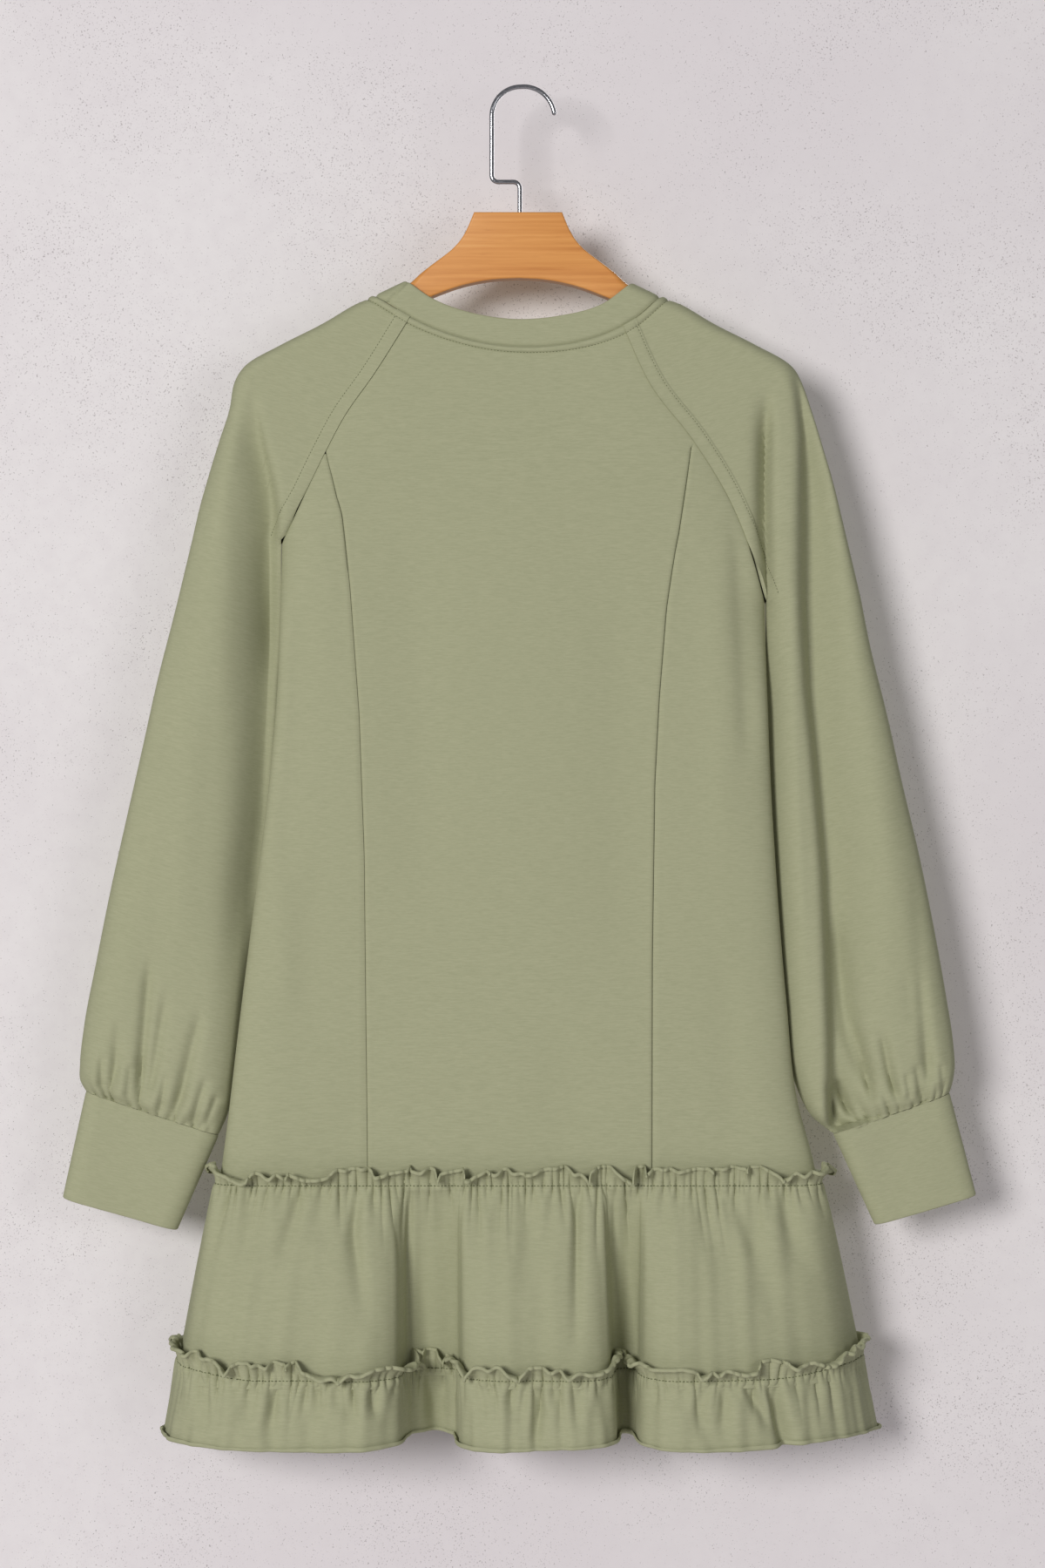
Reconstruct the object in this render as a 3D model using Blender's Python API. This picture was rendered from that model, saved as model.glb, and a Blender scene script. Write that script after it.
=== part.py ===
"""A long-sleeved raglan mini dress of cotton jersey with two ruffled tiers, on a wooden hanger.

The dress hangs with its back to the viewer. Sizes are in millimetres and become metres in one place.
X runs to the right of the photo, Y away from its viewer and Z up. The origin is inside the crown of
the hanger's hook, where a nail carries it. Each cloth piece is a wall round its middle surface, which
a point function gives from named lines and depths.
"""

import math

import bpy
import numpy as np

METRES = 0.001
NEAR = -1
FAR = 1
LEFT = -1
RIGHT = 1

WALL = 1.4
BAND_WALL = 2.2
CUFF_WALL = 1.8
TIER_WALL = 1.2
SEAM_GAP = 0.3
CUFF_SEAM_GAP = 0.5
SMALL = 0.004

MIDDLE_X = -2.0
NECK_DEPTH = 10.6
NECK_FOLD = 10.0
SEAM_DEPTH = 13.0
UNDERARM_ROUND = 45.0
UNDERARM_PART = 1.2
# Rows in which body and sleeve draw apart above the underarm, and come together again below it.
PART_START = 0.8
PART_CLOSES = 1.35
PART_CLOSING = 0.35
# How quickly the neck's curve fades out down the body and the sleeves.
NECK_FADE_BODY = 1.6
NECK_FADE_SLEEVE = 2.0
RAGLAN_FLAT_END = 0.92

STRIP_WIDTH = 11.0
STRIP_STEP = 1.6
STRIP_RAISE = 0.8
STRIP_SHARE = 2.4

GATHER_Z = -840.0
SECOND_GATHER_Z = -982.0
HEM_Z = -1031.0

# Lines in the plane of the photo. Columns: x, z.
NECK_SEAM = {
    NEAR: ((-112, -160), (-100, -167.5), (-81, -179), (-52, -191), (-19, -198.5), (5, -200),
           (37, -197.5), (62, -191), (86, -179), (107, -160.8)),
    FAR: ((-112, -160), (-103, -190), (-88, -222), (-62, -252), (-33, -271), (-3, -277),
          (27, -271), (57, -252), (83, -222), (98, -190), (107, -160.8)),
}
NECK_EDGE = {
    NEAR: ((-88, -148.6), (-68, -162.5), (-36, -174), (-3, -178.5), (29, -176), (62, -167), (85, -150.4)),
    FAR: ((-88, -148.6), (-82, -176), (-69, -206), (-49, -232), (-26, -248), (-3, -254),
          (20, -248), (43, -232), (63, -206), (76, -176), (85, -150.4)),
}
# Where each raglan seam meets the neck seam, as a share of the neck seam's length from its left end.
RAGLAN_START = {
    (LEFT, NEAR): 0.135,
    (RIGHT, NEAR): 0.845,
    (LEFT, FAR): 0.075,
    (RIGHT, FAR): 0.925,
}
# Columns: x, z, after the start, down to the underarm.
RAGLAN = {
    (LEFT, NEAR): ((-113, -222), (-134, -252), (-150, -282), (-168, -319), (-184, -350)),
    (RIGHT, NEAR): ((100, -230), (132, -272), (161, -320), (177, -360), (188, -396)),
    (LEFT, FAR): ((-114, -228), (-134, -262), (-155, -298), (-171, -328), (-184, -350)),
    (RIGHT, FAR): ((109, -228), (133, -270), (156, -316), (175, -360), (188, -396)),
}
# Columns: x, z, down the side from the underarm to the first gather line.
BODY_SIDE = {
    LEFT: ((-184, -350), (-185, -400), (-187, -460), (-193, -530), (-204, -620), (-217, -724),
           (-227, -808), (-232, -845)),
    RIGHT: ((188, -396), (189, -450), (191, -510), (196, -600), (204, -700), (213, -780), (224, -820),
            (229, -845)),
}
# The fold over the hanger's arm, the same on both sides. Columns: row, distance from the middle, z.
HANGER_FOLD = ((0.07, 126, -167), (0.14, 146, -179), (0.29, 182, -197.5), (0.44, 210.5, -214.5),
               (0.53, 218, -227.5))
# Columns: row, x, z, where the fold starts at the neck and where it goes on to the level of the underarm.
FOLD_START = {LEFT: (0, -112, -160.6), RIGHT: (0, 107, -161.4)}
FOLD_END = {
    LEFT: ((0.62, -223.2, -246), (0.75, -231.2, -271), (0.88, -240, -300), (0.95, -247, -325),
           (1, -252, -347)),
    RIGHT: ((0.62, 222.5, -246), (0.75, 231.5, -275), (0.88, 242.5, -314), (0.95, 252, -354),
            (1, 260.5, -390)),
}
# Columns: x, z, down the outside of each arm to the cuff, then down its inside.
ARM = {
    LEFT: ((-252, -347), (-265, -401), (-278.5, -454), (-290.5, -508), (-302.5, -561), (-314.5, -615),
           (-325.3, -669), (-335.3, -722), (-338.2, -749), (-338, -762), (-333.5, -770.5)),
    RIGHT: ((260.5, -390), (268, -428), (281, -481), (293, -535), (305.5, -588), (316.5, -642),
            (326, -695), (332, -735), (333, -752), (331.5, -763), (329, -772)),
}
ARM_INSIDE = {
    LEFT: ((-184, -350), (-184.5, -400), (-186, -460), (-192, -530), (-202.5, -620), (-213.5, -700),
           (-220, -755), (-225, -785), (-233, -804)),
    RIGHT: ((188, -396), (188.5, -450), (190, -510), (194.5, -600), (202.5, -700), (212, -765),
            (224, -789), (241, -803)),
}
# Columns: top x, top z, bottom x, bottom z, for the outer and the inner edge of each cuff.
CUFF_EDGE = {
    (LEFT, "outer"): (-333.5, -770.5, -351.5, -852.5),
    (LEFT, "inner"): (-233, -804, -265, -877),
    (RIGHT, "outer"): (329, -772, 349.5, -850.5),
    (RIGHT, "inner"): (241, -803, 273, -873),
}
# Rows that the panels and sleeves share: 0 at the neck, 1 at the underarm, 2 at the first gather line.
RAGLAN_ROWS = (0, 0.07, 0.14, 0.29, 0.44, 0.53, 0.62, 0.75, 0.88, 0.95, 1)
SIDE_ROWS = (1.1, 1.24, 1.4, 1.56, 1.72, 1.87, 2)
# The row in which each princess seam of the back leaves the raglan seam. Columns of the table: z, x.
PRINCESS_START = {LEFT: 0.62, RIGHT: 0.44}
PRINCESS_LEAST = 1.2
ARM_ROWS = (1.15, 1.33, 1.52, 1.71, 1.85, 1.925, 1.955, 1.98, 2)
SLEEVE_COLUMNS = {NEAR: 18, FAR: 12}
FRONT_COLUMNS = 14
PRINCESS = {
    LEFT: ((-282, -149), (-300, -144), (-329, -137), (-386, -131), (-481, -124), (-588, -120),
           (-850, -117)),
    RIGHT: ((-272, 131), (-333, 122), (-401, 112), (-468, 106.5), (-534, 103), (-668, 101),
            (-850, 100.5)),
}
# Columns: z, near depth, far depth, roundness of the side folds.
BODY_DEPTH = ((-170, 10.6, 10.6, 40), (-240, 14, 13, 40), (-330, 19, 17, 40), (-450, 22, 20, 42),
              (-600, 23, 21, 45), (-760, 25, 22, 45), (-845, 26, 23, 45))
# Columns: row number (0 neck, 1 underarm, 2 cuff), half depth, roundness outside, roundness inside.
SLEEVE_DEPTH = ((0, 10.6, 10, 20), (0.3, 11, 10, 22), (0.62, 13, 15, 24), (1, 16, 22, 26),
                (1.5, 19, 28, 28), (1.86, 21, 30, 28), (1.96, 18, 22, 22), (2, 10, 14, 14))
CUFF_DEPTH = (10.0, 8.0)
CUFF_FOLD = 14.0
# How far the body's side edge comes forward and the sleeve's inner edge goes back, below the underarm.
BODY_EDGE_Y = -9.0
SLEEVE_EDGE_Y = 9.0
EDGE_REACH = 45.0
EDGE_RAMP = 90.0
EDGE_RETURN = 0.4

# Folds of the sleeves as troughs, on both faces. Columns: x, z of the ends, depth, half width.
SLEEVE_FOLDS = {
    LEFT: (((-217, -311), (-208, -563), 4.0, 13), ((-257, -380), (-318, -700), 3.5, 12),
           ((-240, -420), (-268, -700), -2.0, 14)),
    RIGHT: (((212, -293), (215, -455), 6.0, 8), ((215, -455), (224, -620), 7.5, 8),
            ((224, -620), (234, -765), 6.5, 9), ((186, -285), (189, -400), 5.0, 7),
            ((245, -440), (272, -640), -2.5, 14), ((300, -662), (314, -770), 3.5, 8)),
}
SLEEVE_FOLD_EDGE = 18.0
CUFF_GATHERS = 6.5
CUFF_GATHER_RISE = 2.2
CUFF_GATHER_ROW = 1.955
CUFF_GATHER_SPREAD = 0.035

# The skirt in plan. Columns: x at the first gather line, x and y at the hem, room for waves.
SKIRT = {
    NEAR: ((-232, -270, 4, 0.6), (-226, -258, -36, 0.8), (-196, -226, -56, 1), (-150, -166, -58, 1),
           (-112, -108, -56, 1), (-99, -90, -42, 0.5), (-90, -83, -20, 0.3), (-68, -63, -8, 0.8),
           (-47, -45, -20, 0.3), (-38, -38, -42, 0.5), (-25, -23, -56, 1), (14, 15, -58, 1),
           (44, 50, -56, 1), (55, 63, -42, 0.4), (63, 69, -21, 0.2), (76, 79, -12, 0.2),
           (89, 89, -21, 0.2), (97, 95, -42, 0.4), (108, 108, -56, 1), (148, 152, -58, 1),
           (190, 205, -46, 1), (223, 256, -14, 0.8), (229, 271, 12, 0.6)),
    FAR: ((229, 271, 12, 0.6), (220, 255, 34, 0.8), (180, 196, 44, 1), (120, 122, 43, 1),
          (92, 88, 24, 0.6), (58, 52, 41, 1), (0, -2, 45, 1), (-58, -54, 41, 1),
          (-92, -90, 22, 0.6), (-126, -126, 42, 1), (-188, -208, 42, 1), (-224, -257, 30, 0.8),
          (-232, -270, 4, 0.6)),
}
# How the skirt spreads from the gather line to the hem, sideways and in depth.
FLARE_SIDEWAYS = 0.9
FLARE_DEEP = 1.8
# Columns: z above the tier's gather line, stand off the layer below, gather height, frill height.
UPPER_TIER = ((11, 3.4, 0.0, 4.8), (5.5, 2.7, 0.6, 2.2), (0, 2.4, 1.2, 0), (-13, 2.6, 2.6, 0),
              (-66, 2.4, 2.0, 0), (-148, 2.4, 0.3, 0))
LOWER_TIER = ((12.5, 5.9, 0.0, 4.8), (6.5, 5.0, 0.6, 2.2), (0, 4.25, 1.2, 0), (-11, 4.7, 2.6, 0),
              (-29, 4.9, 2.2, 0), (-49, 5.2, 2.6, 0))
GATHERS = {NEAR: 23, FAR: 15}
FRILLS = {NEAR: 14, FAR: 10}
FRILL_RISE = 3.2
FRILL_TOP = 12.0
# How unevenly the gathers are spaced, and how much they differ in height.
WAVE_DRIFT = 0.35
WAVE_VARIES = 0.25

HOOK_WIRE = 1.75
CROWN_RADIUS = 21.4 + 1.75 / 2
CROWN_OPENS = 3.6
CROWN_END = math.radians(86)
HOOK_JOG_Z = -71.5
HOOK_BEND = 5.0
STEM_X = -0.7
STEM_IN_WOOD = 16.0

WOOD_TOP_Z = -95.7
WOOD_HALF_THICK = 7.0
BORE_RADIUS = HOOK_WIRE + SEAM_GAP
# Half of the hanger's outline. Columns: distance from its middle, z, roundness of the edge.
WOOD_TOP = ((33.8, -95.7, 1.6), (36, -101, 1.6), (39, -108, 1.6), (43.5, -116, 1.6), (50, -123.5, 1.6),
            (58, -130, 1.6), (67, -136.6, 2), (75, -142.6, 3.5), (82, -148.8, 5), (87, -152.6, 5),
            (98, -158.2, 5), (110, -164.6, 5), (125.4, -169.4, 5), (145.4, -181.4, 5), (181.6, -200, 5),
            (198, -209.6, 5), (208.6, -216.4, 5), (213.4, -222.6, 5), (215, -229, 5))
WOOD_UNDER = ((212, -236, 5), (206, -240.6, 5), (196, -239, 5), (180, -229, 5), (150, -209.5, 5),
              (120, -190.5, 5), (98, -176.5, 4), (80, -166.8, 2), (62, -158.8, 1.6), (42, -151.8, 1.6),
              (20, -147.6, 1.6))
WOOD_ARCH_Z = -146.4
EDGE_STEPS = (0, 35, 65, 90)

# Colours as levels of red, green and blue from 0 to 255.
SAGE = (160, 163, 135)
LIGHT_WOOD = (214, 150, 85)
CHROME = (205, 205, 208)


class Line:
    """A smooth line through the rows of a table, read at a share of its length."""

    def __init__(self, rows, measured=(0, 1)):
        self.rows = np.array(rows, float)
        steps = np.linalg.norm(np.diff(self.rows[:, list(measured)], axis=0), axis=1)
        self.length = steps.sum()
        self.knots = np.concatenate([[0], np.cumsum(steps)]) / self.length
        self.slopes = np.gradient(self.rows, self.knots, axis=0)

    def at(self, share):
        share = np.clip(share, 0, 1)
        i = np.clip(np.searchsorted(self.knots, share, side="right") - 1, 0, len(self.rows) - 2)
        gap = (self.knots[i + 1] - self.knots[i])[..., None]
        f = (share - self.knots[i])[..., None] / gap
        start, end = self.rows[i], self.rows[i + 1]
        leaving, arriving = self.slopes[i] * gap, self.slopes[i + 1] * gap
        return (start * (2 * f**3 - 3 * f**2 + 1) + leaving * (f**3 - 2 * f**2 + f)
                + end * (3 * f**2 - 2 * f**3) + arriving * (f**3 - f**2))


def column(table, where, number):
    """One named column of a table, read between its rows at a value of its first column."""
    rows = np.array(sorted(table), float)
    return np.interp(where, rows[:, 0], rows[:, number])


def across(c):
    """The share of a row's width at column c, closer together near both of its folded ends."""
    return (1 - np.cos(np.pi * np.clip(c, 0, 1))) / 2


def column_at(share):
    return np.arccos(1 - 2 * np.clip(share, 0, 1)) / np.pi


def rounded(distance, radius):
    """How far a folded edge has opened, from 0 at the fold to 1 a radius away."""
    near = 1 - np.clip(distance / radius, 0, 1)
    return np.sqrt(1 - near**2)


def between(a, b, share):
    return a + (b - a) * share[..., None]


neck_seam = {face: Line(NECK_SEAM[face]) for face in (NEAR, FAR)}
neck_edge = {face: Line(NECK_EDGE[face]) for face in (NEAR, FAR)}
raglan = {}
for (side, face), rows in RAGLAN.items():
    start = neck_seam[face].at(np.array(RAGLAN_START[side, face]))
    raglan[side, face] = Line([tuple(start)] + list(rows))
body_side = {side: Line(BODY_SIDE[side]) for side in (LEFT, RIGHT)}
shoulder = {}
for side in (LEFT, RIGHT):
    over_hanger = [(row, MIDDLE_X + side * away, z) for row, away, z in HANGER_FOLD]
    shoulder[side] = Line([FOLD_START[side]] + over_hanger + list(FOLD_END[side]), measured=(0,))
arm = {side: Line(ARM[side]) for side in (LEFT, RIGHT)}
arm_inside = {side: Line(ARM_INSIDE[side]) for side in (LEFT, RIGHT)}
skirt = {face: Line(SKIRT[face], measured=(1, 2)) for face in (NEAR, FAR)}


def joined(first, second, v):
    """A point of two lines end to end: v runs 0 to 1 along the first and 1 to 2 along the second."""
    return np.where((v <= 1)[..., None], first.at(v), second.at(v - 1))


def outer_edge(side, v):
    return np.where((v <= 1)[..., None], shoulder[side].at(v)[..., 1:], arm[side].at(v - 1))


def seam_depth(v):
    return np.interp(v, (0, 0.5, 1), (NECK_DEPTH, SEAM_DEPTH, SEAM_DEPTH))


def seam_open(side, face, v, depth):
    """How far apart the two walls are at a raglan seam, as a share of the depth.

    They come together at the underarm.
    """
    left_over = (1 - np.clip(v, 0, 1)) * raglan[side, face].length
    return seam_depth(v) / depth * rounded(left_over, UNDERARM_ROUND)


def edge_shift(v, line, amount):
    """How far an edge has moved in depth, below the underarm."""
    below = np.clip((v - 1) * line.length / EDGE_RAMP, 0, 1)
    return amount * below * below * (3 - 2 * below)


def reach(distance):
    return (1 - np.clip(distance / EDGE_REACH, 0, 1)) ** 2


def underarm_part(v):
    """How far the body and the sleeve draw apart, each from their seam line, near the underarm."""
    return UNDERARM_PART * rounded(np.clip(v, 0, 1) - PART_START, 1 - PART_START) * (v > PART_START)


def body_point(face, c, v):
    """A point of the body: c runs across it from left to right, v down from the neck by the underarm."""
    c, v = np.broadcast_arrays(c, v)
    part = underarm_part(v)
    left = joined(raglan[LEFT, face], body_side[LEFT], v)
    right = joined(raglan[RIGHT, face], body_side[RIGHT], v)
    left = left + np.stack([part, 0 * part], -1)
    right = right - np.stack([part, 0 * part], -1)
    share = across(c)
    point = between(left, right, share)
    start, end = RAGLAN_START[LEFT, face], RAGLAN_START[RIGHT, face]
    neck = neck_seam[face].at(start + (end - start) * share)
    ends = between(neck_seam[face].at(np.array(start)), neck_seam[face].at(np.array(end)), share)
    point = point + (neck - ends) * (np.clip(1 - v, 0, 1) ** NECK_FADE_BODY)[..., None]
    width = np.linalg.norm(right - left, axis=-1)
    from_left, from_right = share * width, (1 - share) * width
    row_z = (left[..., 1] + right[..., 1]) / 2
    depth = column(BODY_DEPTH, row_z, 1 if face == NEAR else 2)
    fold = column(BODY_DEPTH, row_z, 3)
    open_left = seam_open(LEFT, face, v, depth)
    open_right = seam_open(RIGHT, face, v, depth)
    half = depth * (open_left + (1 - open_left) * rounded(from_left, fold))
    half = half * (open_right + (1 - open_right) * rounded(from_right, fold))
    middle = edge_shift(v, body_side[LEFT], BODY_EDGE_Y) * reach(from_left)
    middle = middle + edge_shift(v, body_side[RIGHT], BODY_EDGE_Y) * reach(from_right)
    return np.stack([point[..., 0], middle + face * half, point[..., 1]], -1)


def trough(point, fold):
    """The depth of one fold at points in the plane of the photo."""
    start, end, depth, half_width = fold
    a, b = np.array(start, float), np.array(end, float)
    along = np.clip(((point - a) @ (b - a)) / ((b - a) @ (b - a)), 0, 1)
    away = np.linalg.norm(point - between(a, b, along), axis=-1)
    return depth * np.exp(-((away / half_width) ** 2))


def sleeve_point(side, face, c, v):
    """A point of a sleeve: c runs from its inner edge to its outer fold, v from the neck to the cuff."""
    c, v = np.broadcast_arrays(c, v)
    part = underarm_part(v) * np.clip((PART_CLOSES - v) / PART_CLOSING, 0, 1)
    inner = joined(raglan[side, face], arm_inside[side], v) + side * np.stack([part, 0 * part], -1)
    outer = outer_edge(side, v)
    share = across(c)
    point = between(inner, outer, share)
    start, end = RAGLAN_START[side, face], 0.0 if side == LEFT else 1.0
    neck = neck_seam[face].at(start + (end - start) * share)
    ends = between(neck_seam[face].at(np.array(start)), neck_seam[face].at(np.array(end)), share)
    point = point + (neck - ends) * (np.clip(1 - v, 0, 1) ** NECK_FADE_SLEEVE)[..., None]
    width = np.linalg.norm(outer - inner, axis=-1)
    from_inner, from_outer = share * width, (1 - share) * width
    depth = column(SLEEVE_DEPTH, v, 1)
    opening = seam_open(side, face, v, depth)
    half = depth * (opening + (1 - opening) * rounded(from_inner, column(SLEEVE_DEPTH, v, 3)))
    round_outer = rounded(from_outer, column(SLEEVE_DEPTH, v, 2))
    gathered = np.exp(-(((v - CUFF_GATHER_ROW) / CUFF_GATHER_SPREAD) ** 2)) * CUFF_GATHER_RISE
    wave = np.sin(2 * np.pi * CUFF_GATHERS * share + 1.3 * np.sin(5 * share + side))
    folds = sum(trough(point, fold) for fold in SLEEVE_FOLDS[side])
    half = half - folds * round_outer * rounded(from_inner, SLEEVE_FOLD_EDGE)
    half = half + gathered * wave * round_outer
    half = half * round_outer
    back = edge_shift(v, arm_inside[side], SLEEVE_EDGE_Y) * np.clip((2 - v) / EDGE_RETURN, 0, 1)
    middle = back * reach(from_inner)
    return np.stack([point[..., 0], middle + face * half, point[..., 1]], -1)


def neckband_point(face, c, h):
    """A point of the neckband: c runs from left to right, h up from its seam to its edge."""
    c, h = np.broadcast_arrays(c, h)
    share = across(c)
    point = between(neck_seam[face].at(share), neck_edge[face].at(share), h)
    length = neck_seam[face].length
    half = NECK_DEPTH * rounded(share * length, NECK_FOLD) * rounded((1 - share) * length, NECK_FOLD)
    return np.stack([point[..., 0], face * half, point[..., 1]], -1)


def cuff_point(side, face, c, h):
    """A point of a cuff: c runs from its inner edge to its outer one, h down from its seam."""
    c, h = np.broadcast_arrays(c, h)
    inner, outer = (np.array(CUFF_EDGE[side, edge], float) for edge in ("inner", "outer"))
    start = between(inner[:2], inner[2:], h)
    end = between(outer[:2], outer[2:], h)
    share = across(c)
    point = between(start, end, share)
    width = np.linalg.norm(end - start, axis=-1)
    half = (CUFF_DEPTH[0] + (CUFF_DEPTH[1] - CUFF_DEPTH[0]) * h)
    half = half * rounded(share * width, CUFF_FOLD) * rounded((1 - share) * width, CUFF_FOLD)
    return np.stack([point[..., 0], face * half, point[..., 1]], -1)


def skirt_plan(face, share, down):
    """The plan of the skirt, without waves, at a share of the drop to the hem."""
    row = skirt[face].at(share)
    left, right = body_side[LEFT].rows[-1, 0], body_side[RIGHT].rows[-1, 0]
    body = body_point(face, column_at((row[..., 0] - left) / (right - left)), np.array(2.0))
    sideways, deep = down**FLARE_SIDEWAYS, 1 - (1 - down) ** FLARE_DEEP
    x = row[..., 0] + (row[..., 1] - row[..., 0]) * sideways
    y = body[..., 1] + (row[..., 2] - body[..., 1]) * deep
    return np.stack([x, y], -1), row[..., 3]


def wave(share, count, shift):
    """An uneven wave from -1 to 1 that comes back to 0 at both ends."""
    drift = WAVE_DRIFT * np.sin(2 * np.pi * (2 * share + shift)) * np.sin(np.pi * share)
    height = 1 - WAVE_VARIES + WAVE_VARIES * np.sin(2 * np.pi * (5 * share + shift))
    return np.sin(2 * np.pi * (count * share + drift)) * height


def at_sides(outward, face, share):
    """Outward directions that face straight sideways at both side seams, where front and back meet."""
    first, last = (share <= 0)[..., None], (share >= 1)[..., None]
    sideways = np.zeros(outward.shape)
    sideways[..., 0] = face
    return np.where(first, sideways, np.where(last, -sideways, outward))


def tier_point(table, gather_z, face, share, above, shift):
    """A point of a tier: share runs along the skirt's plan, above is the height over its gather line."""
    share, above = np.broadcast_arrays(share, above)
    stand, gather, frill = (column(table, above, number) for number in (1, 2, 3))
    z = gather_z + above
    down = np.clip((GATHER_Z - z) / (GATHER_Z - HEM_Z), 0, 1)
    plan, room = skirt_plan(face, share, down)
    ahead, _ = skirt_plan(face, np.minimum(share + SMALL, 1), down)
    behind, _ = skirt_plan(face, np.maximum(share - SMALL, 0), down)
    run = ahead - behind
    run = run / np.linalg.norm(run, axis=-1)[..., None]
    outward = np.stack([run[..., 1], -run[..., 0]], -1)
    outward = at_sides(outward, face, share)
    push = stand + gather * room * (1 + wave(share, GATHERS[face], shift)) / 2
    push = push + frill * room * (1 + wave(share, FRILLS[face], shift + 0.4))
    plan = plan + outward * push[..., None]
    top = np.clip(above / FRILL_TOP, 0, 1)
    z = z + FRILL_RISE * top * room * wave(share, FRILLS[face] * 2, shift + 0.7)
    return np.stack([plan[..., 0], plan[..., 1], z], -1)


def directions(function, c, v):
    """The outward direction of a surface at each point of a grid, from its own point function."""
    c, v = np.broadcast_arrays(c, v)
    along_c = function(c + SMALL, v) - function(c - SMALL, v)
    along_v = function(c, v + SMALL) - function(c, v - SMALL)
    normal = np.cross(along_c, along_v)
    return normal / np.linalg.norm(normal, axis=-1)[..., None]


def pull_in(points, gap, edges):
    """Moves the named edges of a grid of points half a seam gap towards its inside."""
    moved = points.copy()
    pairs = {
        "first_row": (0, 1, 0),
        "last_row": (-1, -2, 0),
        "first_column": (0, 1, 1),
        "last_column": (-1, -2, 1),
    }
    for name in edges:
        here, inside, axis = pairs[name]
        a, b = points.take(here, axis), points.take(inside, axis)
        step = (b - a) / np.linalg.norm(b - a, axis=-1)[..., None] * gap
        place = [slice(None)] * 2
        place[axis] = here
        moved[tuple(place)] = moved[tuple(place)] + step
    return moved


def skin(name, outer, inner, joined_from=None):
    """A closed wall between two grids of points.

    Rows from joined_from down join their last column to their first.
    """
    rows, columns = outer.shape[:2]
    joined_from = rows if joined_from is None else joined_from
    number = -np.ones((rows, columns), int)
    count = 0
    for i in range(rows):
        for j in range(columns):
            if j == columns - 1 and i >= joined_from:
                number[i, j] = number[i, 0]
            else:
                number[i, j] = count
                count += 1
    kept = np.unique(number, return_index=True)[1]
    points = np.concatenate([outer.reshape(-1, 3)[kept], inner.reshape(-1, 3)[kept]])
    faces = []
    edges = {}
    for i in range(rows - 1):
        for j in range(columns - 1):
            quad = [number[i, j], number[i + 1, j], number[i + 1, j + 1], number[i, j + 1]]
            faces.append(quad)
            faces.append([corner + count for corner in reversed(quad)])
            for a, b in zip(quad, quad[1:] + quad[:1]):
                edges[a, b] = True
    for a, b in edges:
        if (b, a) not in edges:
            faces.append([b, a, a + count, b + count])
    return add_mesh(name, points, faces)


def add_mesh(name, points, faces):
    mesh = bpy.data.meshes.new(name)
    corners = [tuple(point * METRES) for point in points]
    mesh.from_pydata(corners, [], [list(map(int, face)) for face in faces])
    mesh.validate()
    mesh.shade_smooth()
    mesh.set_sharp_from_angle(angle=math.radians(50))
    piece = bpy.data.objects.new(name, mesh)
    bpy.context.scene.collection.objects.link(piece)
    return piece


def grid_columns(first, last, count):
    return np.linspace(0, 1, count + 1) * (last - first)[:, None] + first[:, None]


def flattened(normals, face, v, chosen):
    """Directions along a raglan seam, turned straight out except near the underarm."""
    share = np.clip((RAGLAN_FLAT_END - v) / 0.1, 0, 1) * chosen
    turned = between(normals, np.array([0.0, face, 0.0]), share)
    return turned / np.linalg.norm(turned, axis=-1)[..., None]


def body_panel(name, face, rows, left, right, count):
    """A panel of the body between two column lines, given as functions of the row."""
    v = np.array(rows, float)
    c = grid_columns(left(v), right(v), count)
    v = v[:, None]
    points = body_point(face, c, v)

    def surface(a, b):
        return body_point(face, np.clip(a, 0, 1), np.clip(b, 0, 2))

    normals = directions(surface, c, v)
    if normals[len(rows) // 2, count // 2, 1] * face < 0:
        normals = -normals
    for column_number, end in ((0, 0.0), (-1, 1.0)):
        on_raglan = c[:, column_number] == end
        normals[:, column_number] = flattened(normals[:, column_number], face, v[:, 0], on_raglan)
    if rows[0] > 0:
        normals[0] = (0.0, face, 0.0)
    points = pull_in(points, SEAM_GAP / 2, ("first_row", "first_column", "last_column"))
    outer, inner = points + normals * WALL / 2, points - normals * WALL / 2
    if face == NEAR:
        outer, inner = outer[:, ::-1], inner[:, ::-1]
    return skin(name, outer, inner)


def seam_column(side, v):
    """The column of a princess seam in each row, or that of the row's end above the seam's start."""
    table = PRINCESS[side]
    share = np.full(v.shape, 0.5)
    left = joined(raglan[LEFT, NEAR], body_side[LEFT], v)
    right = joined(raglan[RIGHT, NEAR], body_side[RIGHT], v)
    width = right[..., 0] - left[..., 0]
    for _ in range(8):
        z = left[..., 1] + (right[..., 1] - left[..., 1]) * share
        x = np.interp(-z, [-row[0] for row in table], [row[1] for row in table])
        share = (x - left[..., 0]) / width
    least = PRINCESS_LEAST / width
    share = np.clip(share, least, 1 - least)
    end = 0.0 if side == LEFT else 1.0
    return column_at(np.where(v < PRINCESS_START[side], end, share))


def make_body():
    rows = RAGLAN_ROWS + SIDE_ROWS

    def left_end(v):
        return 0 * v

    def right_end(v):
        return 0 * v + 1

    def left_seam(v):
        return seam_column(LEFT, v)

    def right_seam(v):
        return seam_column(RIGHT, v)

    body_panel("back_center", NEAR, rows, left_seam, right_seam, 12)
    lower = [v for v in rows if v >= PRINCESS_START[LEFT]]
    body_panel("back_side_left", NEAR, lower, left_end, left_seam, 5)
    lower = [v for v in rows if v >= PRINCESS_START[RIGHT]]
    body_panel("back_side_right", NEAR, lower, right_seam, right_end, 5)
    body_panel("front_panel", FAR, rows, left_end, right_end, FRONT_COLUMNS)


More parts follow.
